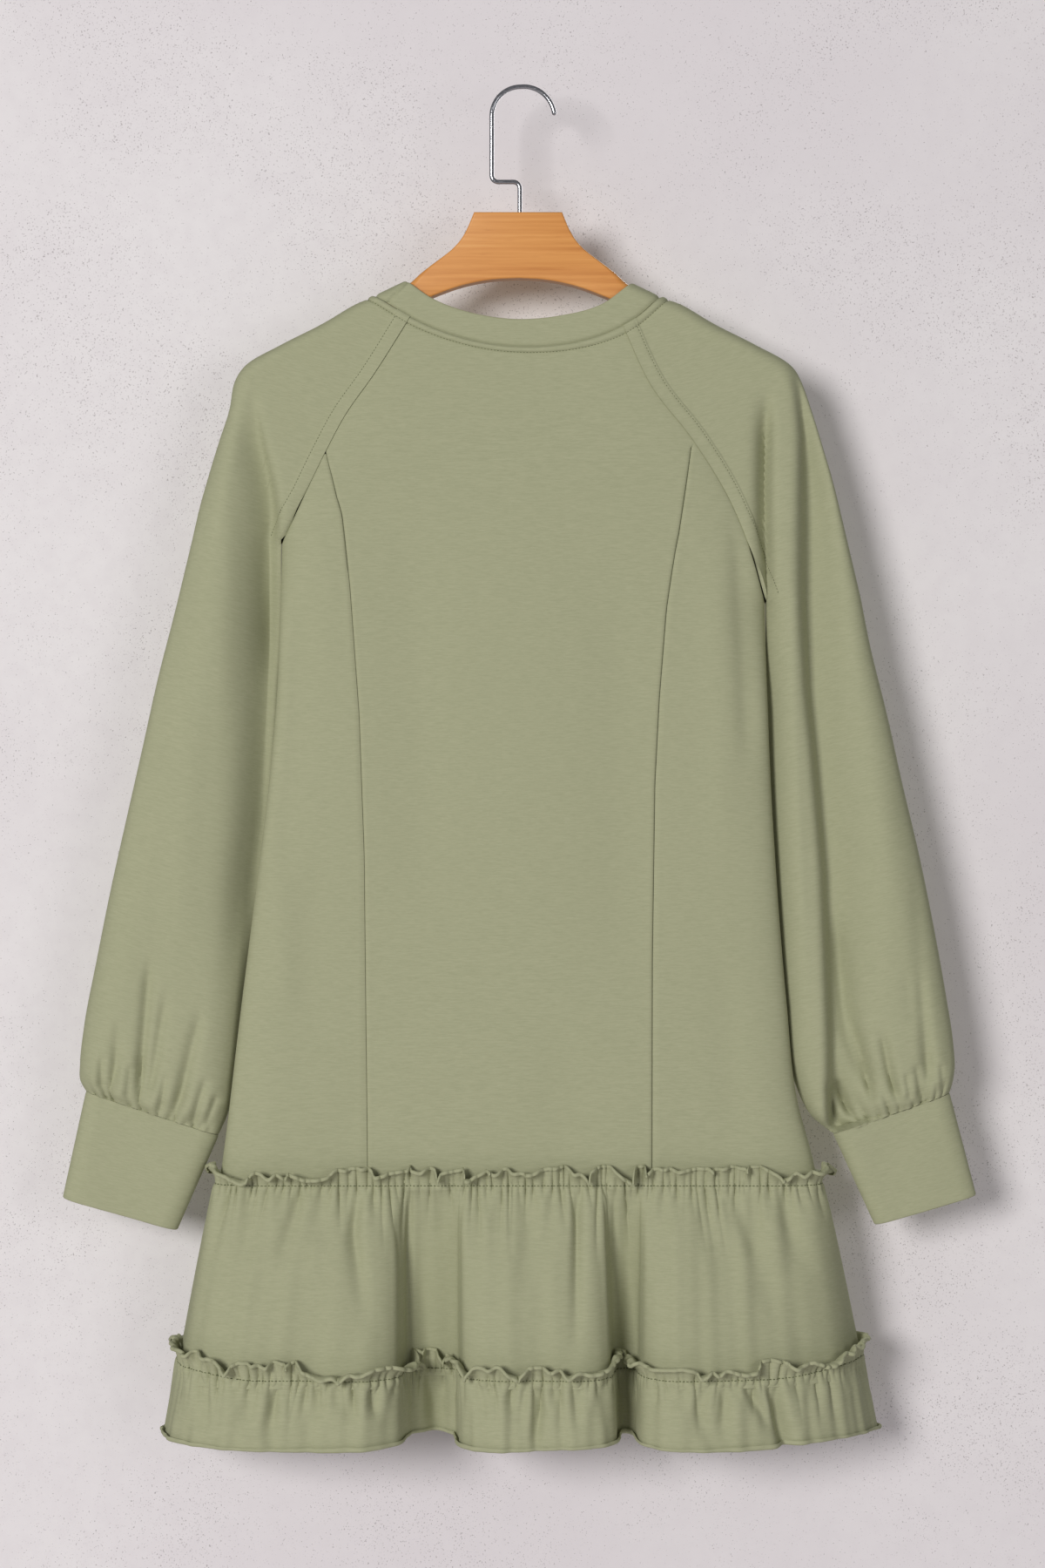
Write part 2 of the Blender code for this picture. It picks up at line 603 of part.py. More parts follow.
def sleeve_columns(side, v, face, count):
    """Columns from the inner edge out: two for the stitched strip, then even ones."""
    inner = joined(raglan[side, face], arm_inside[side], v)
    width = np.linalg.norm(outer_edge(side, v) - inner, axis=-1)
    width = np.maximum(width, STRIP_WIDTH * STRIP_SHARE)
    strip = column_at(STRIP_WIDTH / width)
    step = column_at((STRIP_WIDTH + STRIP_STEP) / width)
    rest = np.linspace(0, 1, count - 1) * (1 - step)[:, None] + step[:, None]
    return np.concatenate([0 * v[:, None], strip[:, None], rest], 1)


def ring(function, r, v):
    """A point of a tube: r runs 0 to 1 across the near wall, then 1 to 2 back on the far wall."""
    near = function(NEAR, np.clip(r, 0, 1), v)
    far = function(FAR, np.clip(2 - r, 0, 1), v)
    return np.where((r <= 1)[..., None], near, far)


def make_sleeve(side, name):
    v = np.array(RAGLAN_ROWS + ARM_ROWS)
    near = sleeve_columns(side, v, NEAR, SLEEVE_COLUMNS[NEAR])
    far = sleeve_columns(side, v, FAR, SLEEVE_COLUMNS[FAR])
    r = np.concatenate([near, 2 - far[:, -2::-1]], 1)
    v = v[:, None]

    def tube(a, b):
        return ring(lambda face, c, d: sleeve_point(side, face, c, d), np.clip(a, 0, 2), np.clip(b, 0, 2))

    points = tube(r, v)
    normals = directions(tube, r, v)
    middle = len(v) // 2
    if normals[middle, 10, 1] > 0:
        normals = -normals
    normals[:, 0] = flattened(normals[:, 0], NEAR, v[:, 0], v[:, 0] < 1)
    normals[:, -1] = flattened(normals[:, -1], FAR, v[:, 0], v[:, 0] < 1)
    raised = np.zeros(r.shape)
    strip = (v[:, 0] < 1)
    raised[strip, :2] = STRIP_RAISE
    raised[strip, -2:] = STRIP_RAISE
    closed = int(np.argmax(v[:, 0] >= 1))
    pulled = pull_in(pull_in(points, SEAM_GAP / 2, ("first_row",)), CUFF_SEAM_GAP, ("last_row",))
    open_rows = pull_in(pulled, SEAM_GAP / 2, ("first_column", "last_column"))
    pulled[:closed] = open_rows[:closed]
    outer, inner = pulled + normals * (WALL / 2 + raised)[..., None], pulled - normals * WALL / 2
    if side == LEFT:
        return skin(name, outer, inner, closed)
    return skin(name, outer[:, ::-1], inner[:, ::-1], closed)


def make_tube(name, function, rows, columns, thick, gaps, flip):
    """A closed tube, as a neckband or a cuff."""
    r, v = columns[None, :], np.array(rows, float)[:, None]

    def tube(a, b):
        turned = np.where(a < 0, a + 2, np.where(a > 2, a - 2, a))
        return ring(function, turned, np.clip(b, 0, 1))

    r, v = np.broadcast_arrays(r, v)
    points, normals = tube(r, v), directions(tube, r, v)
    if normals[0, np.argmin(np.abs(columns - 0.5)), 1] > 0:
        normals = -normals
    points = pull_in(points, SEAM_GAP / 2, gaps)
    outer, inner = points + normals * thick / 2, points - normals * thick / 2
    if flip:
        outer, inner = outer[:, ::-1], inner[:, ::-1]
    return skin(name, outer, inner, 0)


def neckband_columns(face):
    """Columns of the neckband, which follow those of the sleeves and the panel that it is sewn to."""
    start, end = RAGLAN_START[LEFT, face], RAGLAN_START[RIGHT, face]
    panel = across(np.linspace(0, 1, (12 if face == NEAR else FRONT_COLUMNS) + 1))
    fold = across(np.linspace(0, 1, 7))
    left = start * (1 - np.flip(fold))
    right = end + (1 - end) * fold
    shares = np.unique(np.round(np.concatenate([left, start + (end - start) * panel, right]), 5))
    return column_at(shares)


def make_neckband():
    near = neckband_columns(NEAR)
    far = 2 - np.flip(neckband_columns(FAR))[1:]
    columns = np.concatenate([near, far])
    return make_tube("neckband", neckband_point, (0, 0.5, 1), columns, BAND_WALL, ("first_row",), False)


def make_cuff(side, name):
    def point(face, c, h):
        return cuff_point(side, face, c, h)

    columns = np.concatenate([np.linspace(0, 1, 14), np.linspace(1, 2, 12)[1:]])
    return make_tube(name, point, (0, 0.33, 0.67, 1), columns, CUFF_WALL, ("first_row",), side == LEFT)


def make_tier(name, table, gather_z, face, count, shift):
    share = np.linspace(0, 1, count + 1)[None, :]
    above = np.array([row[0] for row in table], float)[:, None]

    def point(a, b):
        return tier_point(table, gather_z, face, a, b, shift)

    share, above = np.broadcast_arrays(share, above)
    points = point(share, above)
    after, before = np.minimum(share + SMALL / 2, 1), np.maximum(share - SMALL / 2, 0)
    ahead = point(after, above) - point(before, above)
    up = point(share, above + SMALL * 100) - point(share, above - SMALL * 100)
    normals = np.cross(ahead, up)
    normals = normals / np.linalg.norm(normals, axis=-1)[..., None]
    normals[:, 0] = (face, 0, 0)
    normals[:, -1] = (-face, 0, 0)
    points[:, 0, 1] = points[:, 0, 1] + face * SEAM_GAP / 2
    points[:, -1, 1] = points[:, -1, 1] + face * SEAM_GAP / 2
    outer, inner = points + normals * TIER_WALL / 2, points - normals * TIER_WALL / 2
    return skin(name, outer, inner)


def make_tiers():
    for face, word, count, shift in ((NEAR, "back", 92, 0.1), (FAR, "front", 56, 0.35)):
        make_tier(f"tier_upper_{word}", UPPER_TIER, GATHER_Z, face, count, shift)
        make_tier(f"tier_lower_{word}", LOWER_TIER, SECOND_GATHER_Z, face, count, shift + 0.23)


def wood_outline():
    """The closed outline of the wood, with the roundness of its edge at each point."""
    right_top = [(x, z, r) for x, z, r in WOOD_TOP]
    right_under = [(x, z, r) for x, z, r in WOOD_UNDER]
    left_top = [(-x, z, r) for x, z, r in reversed(right_top)]
    left_under = [(-x, z, r) for x, z, r in reversed(right_under)]
    return np.array(right_top + right_under + [(0, WOOD_ARCH_Z, 1.6)] + left_under + left_top, float)


def make_wood():
    outline = wood_outline()
    flat, round_edge = outline[:, :2], outline[:, 2]
    ahead = np.roll(flat, -1, 0) - flat
    behind = flat - np.roll(flat, 1, 0)
    ahead = ahead / np.linalg.norm(ahead, axis=1)[:, None]
    behind = behind / np.linalg.norm(behind, axis=1)[:, None]
    inward = np.stack([ahead[:, 1] + behind[:, 1], -ahead[:, 0] - behind[:, 0]], 1)
    inward = inward / (1 + (ahead * behind).sum(1))[:, None]
    rings = []
    for sign in (NEAR, FAR):
        steps = EDGE_STEPS if sign == FAR else reversed(EDGE_STEPS)
        for degrees in steps:
            turn = math.radians(degrees)
            inset = round_edge * (1 - math.cos(turn))
            y = sign * (WOOD_HALF_THICK - round_edge * (1 - math.sin(turn)))
            shape = flat + inward * inset[:, None]
            rings.append(np.stack([shape[:, 0] + MIDDLE_X, y, shape[:, 1]], 1))
    points = np.concatenate(rings)
    count = len(outline)
    faces = [list(range(count)), list(reversed(range(len(points) - count, len(points))))]
    for k in range(len(rings) - 1):
        for i in range(count):
            j = (i + 1) % count
            faces.append([k * count + i, (k + 1) * count + i, (k + 1) * count + j, k * count + j])
    piece = add_mesh("hanger_wood", points, faces)
    floor_z = WOOD_TOP_Z - STEM_IN_WOOD - SEAM_GAP
    bore = add_mesh("bore_cutter", *prism(STEM_X, floor_z, WOOD_TOP_Z + 5, BORE_RADIUS))
    bore.hide_render = True
    bore.display_type = "WIRE"
    cut = piece.modifiers.new("bore", "BOOLEAN")
    cut.operation = "DIFFERENCE"
    cut.solver = "EXACT"
    cut.object = bore
    return piece


def prism(x, low, high, radius, sides=16):
    points = []
    for z in (low, high):
        for i in range(sides):
            turn = 2 * math.pi * i / sides
            points.append((x + radius * math.cos(turn), radius * math.sin(turn), z))
    faces = [list(reversed(range(sides))), list(range(sides, 2 * sides))]
    for i in range(sides):
        j = (i + 1) % sides
        faces.append([i, j, sides + j, sides + i])
    return np.array(points), faces


def bend(centre, start_degrees, end_degrees, radius, steps):
    turns = np.radians(np.linspace(start_degrees, end_degrees, steps + 1))
    return [(centre[0] + radius * math.cos(t), centre[1] + radius * math.sin(t)) for t in turns]


def hook_path():
    """The middle of the hook's wire, from its end in the wood to its tip."""
    radius = CROWN_RADIUS
    side_x = -radius
    crown = (0.0, HOOK_WIRE - radius)
    path = [(STEM_X, WOOD_TOP_Z - STEM_IN_WOOD), (STEM_X, WOOD_TOP_Z - 2), (STEM_X, HOOK_JOG_Z - 6)]
    path += bend((STEM_X - HOOK_BEND, HOOK_JOG_Z - HOOK_BEND), 0, 90, HOOK_BEND, 4)
    path += bend((side_x + HOOK_BEND, HOOK_JOG_Z + HOOK_BEND), 270, 180, HOOK_BEND, 4)
    path += [(side_x, -48), (side_x, -33)]
    steps = 16
    for i in range(steps + 1):
        turn = math.pi - (math.pi / 2 + CROWN_END) * i / steps
        past_top = max(0.0, (math.pi / 2 - turn) / CROWN_END)
        reach_out = radius + CROWN_OPENS * past_top
        path.append((crown[0] + reach_out * math.cos(turn), crown[1] + reach_out * math.sin(turn)))
    return np.array(path)


def make_hook(sides=8):
    path = hook_path()
    run = np.gradient(path, axis=0)
    run = run / np.linalg.norm(run, axis=1)[:, None]
    across_wire = np.stack([run[:, 1], -run[:, 0]], 1)
    points = []
    for place, side_way in zip(path, across_wire):
        for i in range(sides):
            turn = 2 * math.pi * i / sides
            flat = place + side_way * HOOK_WIRE * math.cos(turn)
            points.append((flat[0], HOOK_WIRE * math.sin(turn), flat[1]))
    last = (len(path) - 1) * sides
    faces = [list(range(sides)), list(reversed(range(last, last + sides)))]
    for k in range(len(path) - 1):
        for i in range(sides):
            j = (i + 1) % sides
            a, b = k * sides, (k + 1) * sides
            faces.append([a + i, b + i, b + j, a + j])
    return add_mesh("hanger_hook", np.array(points), faces)


def colour(name, rgb, roughness, metallic=0.0):
    material = bpy.data.materials.new(name)
    material.use_nodes = True
    shader = material.node_tree.nodes["Principled BSDF"]
    shader.inputs["Base Color"].default_value = (*rgb, 1.0)
    shader.inputs["Roughness"].default_value = roughness
    shader.inputs["Metallic"].default_value = metallic
    material.diffuse_color = (*rgb, 1.0)
    return material


def linear(*levels):
    return tuple(((level / 255 + 0.055) / 1.055) ** 2.4 for level in levels)


def face_out(piece):
    """Turns every face of a closed piece outward."""
    mesh = piece.data
    mesh.calc_loop_triangles()
    corners = [mesh.vertices[v].co for triangle in mesh.loop_triangles for v in triangle.vertices]
    corners = np.array(corners).reshape(-1, 3, 3)
    volume = np.einsum("ij,ij->i", corners[:, 0], np.cross(corners[:, 1], corners[:, 2])).sum()
    if volume < 0:
        mesh.flip_normals()


def main():
    for piece in list(bpy.data.objects):
        bpy.data.objects.remove(piece, do_unlink=True)
    make_wood()
    make_hook()
    make_neckband()
    make_body()
    make_sleeve(LEFT, "sleeve_left")
    make_sleeve(RIGHT, "sleeve_right")
    make_cuff(LEFT, "cuff_left")
    make_cuff(RIGHT, "cuff_right")
    make_tiers()
    for piece in bpy.data.objects:
        face_out(piece)
        if piece.name == "hanger_hook":
            piece.data.materials.append(colour("chrome_wire", linear(*CHROME), 0.18, 1.0))
        elif piece.name in ("hanger_wood", "bore_cutter"):
            piece.data.materials.append(colour("varnished_wood", linear(*LIGHT_WOOD), 0.35))
        else:
            piece.data.materials.append(colour(f"jersey_{piece.name}", linear(*SAGE), 0.9))


main()
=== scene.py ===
"""A sage green raglan dress of cotton jersey with two ruffled tiers, hanging with its back to the viewer.

Every cloth piece is a thin shell that follows the seams and depths of its solid, with finer folds,
gathers, frilled raw edges and sewing. Lines and depths are in millimetres, and add_mesh turns them
into metres. X runs to the right, Y away from the viewer and Z up. The origin is inside the hook's crown.
"""

import math
from types import SimpleNamespace

import bpy
import numpy as np
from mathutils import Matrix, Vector


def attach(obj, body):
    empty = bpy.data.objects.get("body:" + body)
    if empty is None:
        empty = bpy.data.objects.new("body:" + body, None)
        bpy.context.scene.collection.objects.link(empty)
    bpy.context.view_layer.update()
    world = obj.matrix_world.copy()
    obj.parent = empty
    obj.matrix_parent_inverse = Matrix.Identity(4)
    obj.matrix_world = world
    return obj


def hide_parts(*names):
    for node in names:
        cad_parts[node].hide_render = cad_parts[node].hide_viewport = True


METRES = 0.001
SHARP_ANGLE = math.radians(60)
NEAR = -1
FAR = 1
LEFT = -1
RIGHT = 1

# The photo's plane: millimetres in one of its pixels, and the pixel of the origin.
PIXEL = 0.67
ORIGIN_PIXEL = (598.0, 102.2)
CAMERA_CENTRE = (0.00134, 0.0, -0.5345)
CAMERA_AWAY = 2.3
PICTURE_HALF_HEIGHT = 0.603

# Thicknesses of the cloth, and the gaps at its seams.
WALL = 1.4
BAND_WALL = 2.2
CUFF_WALL = 1.8
TIER_WALL = 1.2
SEAM_GAP = 0.3
CUFF_SEAM_GAP = 0.5

MIDDLE_X = -2.0
NECK_DEPTH = 10.6
NECK_FOLD = 10.0
SEAM_DEPTH = 13.0
# A row that no piece reaches, for an edge without a plain sewn seam.
NOWHERE = 9
UNDERARM_ROUND = 45.0
UNDERARM_PART = 1.2
PART_START = 0.8
PART_CLOSES = 1.35
PART_CLOSING = 0.35
NECK_FADE_BODY = 1.6
NECK_FADE_SLEEVE = 2.0
RAGLAN_FLAT_END = 0.92

GATHER_Z = -840.0
SECOND_GATHER_Z = -982.0
HEM_Z = -1031.0

# Lines in the plane of the photo. Columns: x, z.
NECK_SEAM = {
    NEAR: ((-112, -160), (-100, -167.5), (-81, -179), (-52, -191), (-19, -198.5), (5, -200),
           (37, -197.5), (62, -191), (86, -179), (107, -160.8)),
    FAR: ((-112, -160), (-103, -190), (-88, -222), (-62, -252), (-33, -271), (-3, -277),
          (27, -271), (57, -252), (83, -222), (98, -190), (107, -160.8)),
}
NECK_EDGE = {
    NEAR: ((-88, -148.6), (-68, -162.5), (-36, -174), (-3, -178.5), (29, -176), (62, -167), (85, -150.4)),
    FAR: ((-88, -148.6), (-82, -176), (-69, -206), (-49, -232), (-26, -248), (-3, -254),
          (20, -248), (43, -232), (63, -206), (76, -176), (85, -150.4)),
}
RAGLAN_START = {
    (LEFT, NEAR): 0.135,
    (RIGHT, NEAR): 0.845,
    (LEFT, FAR): 0.075,
    (RIGHT, FAR): 0.925,
}
RAGLAN = {
    (LEFT, NEAR): ((-113, -222), (-134, -252), (-150, -282), (-168, -319), (-184, -350)),
    (RIGHT, NEAR): ((100, -230), (132, -272), (161, -320), (177, -360), (188, -396)),
    (LEFT, FAR): ((-114, -228), (-134, -262), (-155, -298), (-171, -328), (-184, -350)),
    (RIGHT, FAR): ((109, -228), (133, -270), (156, -316), (175, -360), (188, -396)),
}
BODY_SIDE = {
    LEFT: ((-184, -350), (-185, -400), (-187, -460), (-193, -530), (-204, -620), (-217, -724),
           (-227, -808), (-232, -845)),
    RIGHT: ((188, -396), (189, -450), (191, -510), (196, -600), (204, -700), (213, -780), (224, -820),
            (229, -845)),
}
# The fold over the hanger's arm. Columns: row, distance from the middle, z.
HANGER_FOLD = ((0.07, 126, -167), (0.14, 146, -179), (0.29, 182, -197.5), (0.44, 210.5, -214.5),
               (0.53, 218, -227.5))
FOLD_START = {LEFT: (0, -112, -160.6), RIGHT: (0, 107, -161.4)}
FOLD_END = {
    LEFT: ((0.62, -223.2, -246), (0.75, -231.2, -271), (0.88, -240, -300), (0.95, -247, -325),
           (1, -252, -347)),
    RIGHT: ((0.62, 222.5, -246), (0.75, 231.5, -275), (0.88, 242.5, -314), (0.95, 252, -354),
            (1, 260.5, -390)),
}
ARM = {
    LEFT: ((-252, -347), (-265, -401), (-278.5, -454), (-290.5, -508), (-302.5, -561), (-314.5, -615),
           (-325.3, -669), (-335.3, -722), (-338.2, -749), (-338, -762), (-333.5, -770.5)),
    RIGHT: ((260.5, -390), (268, -428), (281, -481), (293, -535), (305.5, -588), (316.5, -642),
            (326, -695), (332, -735), (333, -752), (331.5, -763), (329, -772)),
}
ARM_INSIDE = {
    LEFT: ((-184, -350), (-184.5, -400), (-186, -460), (-192, -530), (-202.5, -620), (-213.5, -700),
           (-220, -755), (-225, -785), (-233, -804)),
    RIGHT: ((188, -396), (188.5, -450), (190, -510), (194.5, -600), (202.5, -700), (212, -765),
            (224, -789), (241, -803)),
}
CUFF_EDGE = {
    (LEFT, "outer"): (-333.5, -770.5, -351.5, -852.5),
    (LEFT, "inner"): (-233, -804, -265, -877),
    (RIGHT, "outer"): (329, -772, 349.5, -850.5),
    (RIGHT, "inner"): (241, -803, 273, -873),
}
# Rows down the body and sleeves: closer together at the neck's stitched band and round the underarm.
RAGLAN_MM = 229.0
BODY_LAST_ROW = 1.985
BAND_ROWS = np.array((0, 0.7, 1.6, 3, 4.4, 5.2, 5.8, 6.4, 7.2, 8, 9, 11)) / RAGLAN_MM
UPPER_ROWS = np.concatenate([BAND_ROWS, np.linspace(15 / RAGLAN_MM, 1, 46)])
LOWER_ROWS = np.linspace(1, BODY_LAST_ROW, 76)[1:]
ARM_ROWS = np.concatenate([np.linspace(1, 1.84, 58)[1:], np.linspace(1.84, 2, 44)[1:]])
PRINCESS_START = {LEFT: 0.62, RIGHT: 0.44}
PRINCESS_LEAST = 1.2
PRINCESS = {
    LEFT: ((-282, -149), (-300, -144), (-329, -137), (-386, -131), (-481, -124), (-588, -120),
           (-850, -117)),
    RIGHT: ((-272, 131), (-333, 122), (-401, 112), (-468, 106.5), (-534, 103), (-668, 101),
            (-850, 100.5)),
}
BODY_DEPTH = ((-170, 10.6, 10.6, 40), (-240, 14, 13, 40), (-330, 19, 17, 40), (-450, 22, 20, 42),
              (-600, 23, 21, 45), (-760, 25, 22, 45), (-845, 26, 23, 45))
SLEEVE_DEPTH = ((0, 10.6, 10, 20), (0.3, 11, 10, 22), (0.62, 13, 15, 24), (1, 16, 22, 26),
                (1.5, 19, 28, 28), (1.86, 21, 30, 28), (1.96, 18, 22, 22), (2, 10, 14, 14))
CUFF_DEPTH = (10.0, 8.0)
CUFF_FOLD = 14.0
BODY_EDGE_Y = -9.0
SLEEVE_EDGE_Y = 9.0
EDGE_REACH = 45.0
EDGE_RAMP = 90.0
EDGE_RETURN = 0.4
FOLD_EDGE = 16.0

# The skirt in plan. Columns: x at the first gather line, x and y at the hem, room for waves.
SKIRT = {
    NEAR: ((-232, -270, 4, 0.6), (-226, -258, -36, 0.8), (-196, -226, -56, 1), (-150, -166, -58, 1),
           (-112, -108, -57, 1), (-101, -97, -47, 0.5), (-95, -92, -27, 0.2), (-88, -86, -12, 0.4),
           (-68, -64, -7, 0.8), (-48, -46, -12, 0.4), (-44, -42.5, -27, 0.2), (-40, -39, -46, 0.5),
           (-29, -27, -56, 1), (14, 15, -58, 1),
           (46, 55, -57, 1), (57, 66, -46, 0.3), (61, 69, -25, 0.2), (66, 72, -12, 0.2),
           (78, 81, -8, 0.2), (89, 90, -13, 0.2), (94, 93, -29, 0.2), (99, 97, -45, 0.4),
           (110, 109, -57, 1), (148, 152, -58, 1),
           (190, 205, -46, 1), (223, 256, -14, 0.8), (229, 271, 12, 0.6)),
    FAR: ((229, 271, 12, 0.6), (220, 255, 34, 0.8), (180, 196, 44, 1), (120, 122, 43, 1),
          (92, 88, 24, 0.6), (58, 52, 41, 1), (0, -2, 45, 1), (-58, -54, 41, 1),
          (-92, -90, 22, 0.6), (-126, -126, 42, 1), (-188, -208, 42, 1), (-224, -257, 30, 0.8),
          (-232, -270, 4, 0.6)),
}
FLARE_SIDEWAYS = 0.9
FLARE_DEEP = 1.8
RECESS_FLARE = 1.6
# A recess is cloth further in than this depth, within this reach of the middle. Each: from, over.
RECESS_Y = (50, 26)
RECESS_X = (150, 20)

# Soft folds. Each: the points it runs through, in pixels of the photo, then in millimetres its depth and
# its half widths on the left and on the right. A negative depth is a ridge.
BODY_FOLDS = {
    NEAR: (
        (((839, 575), (846, 640), (851, 760), (858, 900)), 2.6, 7, 10),
        (((820, 600), (824, 760), (828, 1000)), -1.6, 14, 14),
        (((350, 640), (344, 820), (322, 1050)), 2.6, 12, 14),
        (((318, 960), (330, 1180)), -1.6, 14, 12),
        (((372, 700), (362, 1000), (352, 1250)), 1.2, 16, 16),
        (((470, 560), (478, 800), (486, 1080)), 1.8, 24, 24),
        (((600, 480), (604, 800), (600, 1200)), -1.0, 40, 40),
        (((706, 620), (712, 900), (716, 1180)), 1.8, 24, 24),
        (((290, 1180), (282, 1330)), 1.4, 12, 12),
        (((826, 1080), (842, 1320)), 1.4, 14, 14),
        (((420, 1180), (412, 1340)), 0.9, 16, 16),
        (((640, 1150), (652, 1345)), 0.9, 20, 20),
    ),
    FAR: (
        (((350, 640), (344, 820), (330, 1080)), 2.2, 10, 12),
        (((848, 660), (856, 900), (862, 1120)), 2.4, 10, 9),
        (((470, 600), (478, 860), (470, 1240)), 1.5, 22, 22),
        (((596, 540), (602, 800), (598, 1180)), 1.2, 30, 30),
        (((712, 640), (716, 900), (728, 1250)), 1.5, 22, 22),
        (((540, 1050), (532, 1330)), 1.1, 14, 14),
        (((660, 1080), (668, 1330)), 1.1, 14, 14),
    ),
}
SLEEVE_FOLDS = {
    (LEFT, NEAR): (
        (((288, 440), (300, 510), (314, 572), (321, 625), (320, 800)), 11.0, 14, 3.5),
        (((306, 500), (308, 620), (307, 760), (300, 942), (276, 1160)), 16.0, 19, 7),
        (((258, 470), (260, 640), (250, 860)), -2.6, 14, 12),
        (((236, 560), (205, 700), (162, 928), (140, 1100)), 2.8, 12, 12),
        (((250, 620), (228, 800), (212, 1000), (204, 1150)), -2.2, 13, 13),
        (((176, 1090), (168, 1190), (160, 1268)), 5.0, 4, 5),
        (((196, 1130), (183, 1205), (170, 1272)), 3.6, 4, 5),
        (((236, 1150), (216, 1230), (203, 1288)), 3.8, 5, 5),
        (((141, 1160), (137, 1205), (135, 1256)), 1.8, 4, 5),
        (((121, 1205), (118, 1252)), 1.5, 3, 3),
        (((153, 1215), (149, 1262)), 1.5, 3, 3),
        (((240, 1230), (222, 1293)), 1.6, 3, 4),
        (((252, 1250), (236, 1298)), 1.8, 3, 4),
        (((194, 1225), (186, 1280)), 1.5, 3, 3),
        (((262, 1262), (249, 1302)), 1.5, 3, 3),
    ),
    (RIGHT, NEAR): (
        (((914, 300), (920, 440), (926, 500), (927, 560), (927, 690), (932, 790), (939, 860), (950, 996),
          (957, 1178), (958, 1420)), 19.0, 6.0, 24),
        (((905, 470), (905, 600), (906, 800), (914, 1000), (922, 1190)), -3.4, 12, 7),
        (((881, 440), (878, 560), (880, 740)), 14.0, 7, 4),
        (((955, 1040), (974, 1187), (997, 1258)), 6.5, 6, 8),
        (((976, 1165), (990, 1215), (1002, 1268)), 4.5, 3.5, 4),
        (((1008, 1175), (1018, 1224), (1029, 1266)), 4.5, 4, 4),
        (((957, 1235), (979, 1286)), 3.6, 3.5, 3.5),
        (((947, 1236), (961, 1290)), 1.8, 3, 3),
        (((1052, 1100), (1060, 1200), (1065, 1258)), 3.6, 5, 5),
        (((1048, 1215), (1054, 1262)), 1.6, 3, 3),
        (((1077, 1215), (1080, 1256)), 1.4, 3, 3),
        (((1036, 1105), (1045, 1180)), 1.3, 6, 6),
        (((1049, 980), (1055, 1133)), 1.3, 6, 6),
        (((1037, 1225), (1042, 1264)), 1.5, 3, 3),
        (((1005, 880), (1014, 1020), (1020, 1140)), -2.2, 17, 17),
    ),
    (LEFT, FAR): (
        (((300, 500), (316, 560), (322, 640)), 4.5, 8, 8),
        (((268, 520), (262, 700), (250, 900), (236, 1080)), 4.0, 11, 10),
        (((214, 760), (180, 940), (160, 1100)), 2.6, 12, 12),
        (((160, 1140), (152, 1262)), 2.6, 5, 5),
        (((188, 1130), (178, 1276)), 2.4, 5, 5),
        (((214, 1160), (206, 1288)), 2.4, 5, 5),
        (((240, 1200), (230, 1298)), 1.8, 4, 4),
        (((130, 1190), (128, 1254)), 1.6, 4, 4),
    ),
    (RIGHT, FAR): (
        (((886, 500), (882, 580), (882, 690)), 5.0, 8, 8),
        (((930, 520), (936, 700), (950, 900), (962, 1080)), 4.2, 10, 11),
        (((985, 780), (1010, 940), (1030, 1090)), 2.6, 12, 12),
        (((1030, 1130), (1040, 1264)), 2.6, 5, 5),
        (((1004, 1140), (1012, 1268)), 2.4, 5, 5),
        (((978, 1180), (984, 1280)), 2.2, 5, 5),
        (((1060, 1180), (1066, 1258)), 1.8, 4, 4),
    ),
}
# The gathers over a cuff: the line's length, the closest and widest steps and the longest valley.
CUFF_GATHERS = (104, 4.6, 9.4, 52)
CUFF_GATHER_DEPTH = 7.0
CUFF_GATHER_HALF = 1.9
CUFF_PUCKER_RISE = 0.55
CUFF_PUCKER_FADE = 14.0
# What swells over a cuff. Columns: amount, height above the cuff, half width.
CUFF_DEEPENING = (1.3, 14, 26.0)
CUFF_FULLNESS = (4.4, 11, 15.0)
CUFF_HEIGHT = 84.0
CUFF_DENT = (0.5, 3, 3.0)
CUFF_DENT_RUN = 82
BAND_HEIGHT = 21.0
BAND_LENGTH = 260
NECK_STITCH_LINE = 6.0
# The raised strip beside a raglan seam: its columns' distances, its edge and its line of stitches.
STRIP = (0, 0.7, 2, 4, 6, 8, 9.2, 9.9, 10.5, 11.1, 11.8, 12.6)
STRIP_EDGE = 11.8
STRIP_STITCH_LINE = 9.9
STRIP_STITCH_COLUMN = STRIP.index(STRIP_STITCH_LINE)
SLEEVE_LEAST = 28.0
# The seam that joins the neckband at the left shoulder: its place, and how far it leans over the band.
CROSS_SEAM = 0.052
CROSS_SEAM_LEAN = 0.042

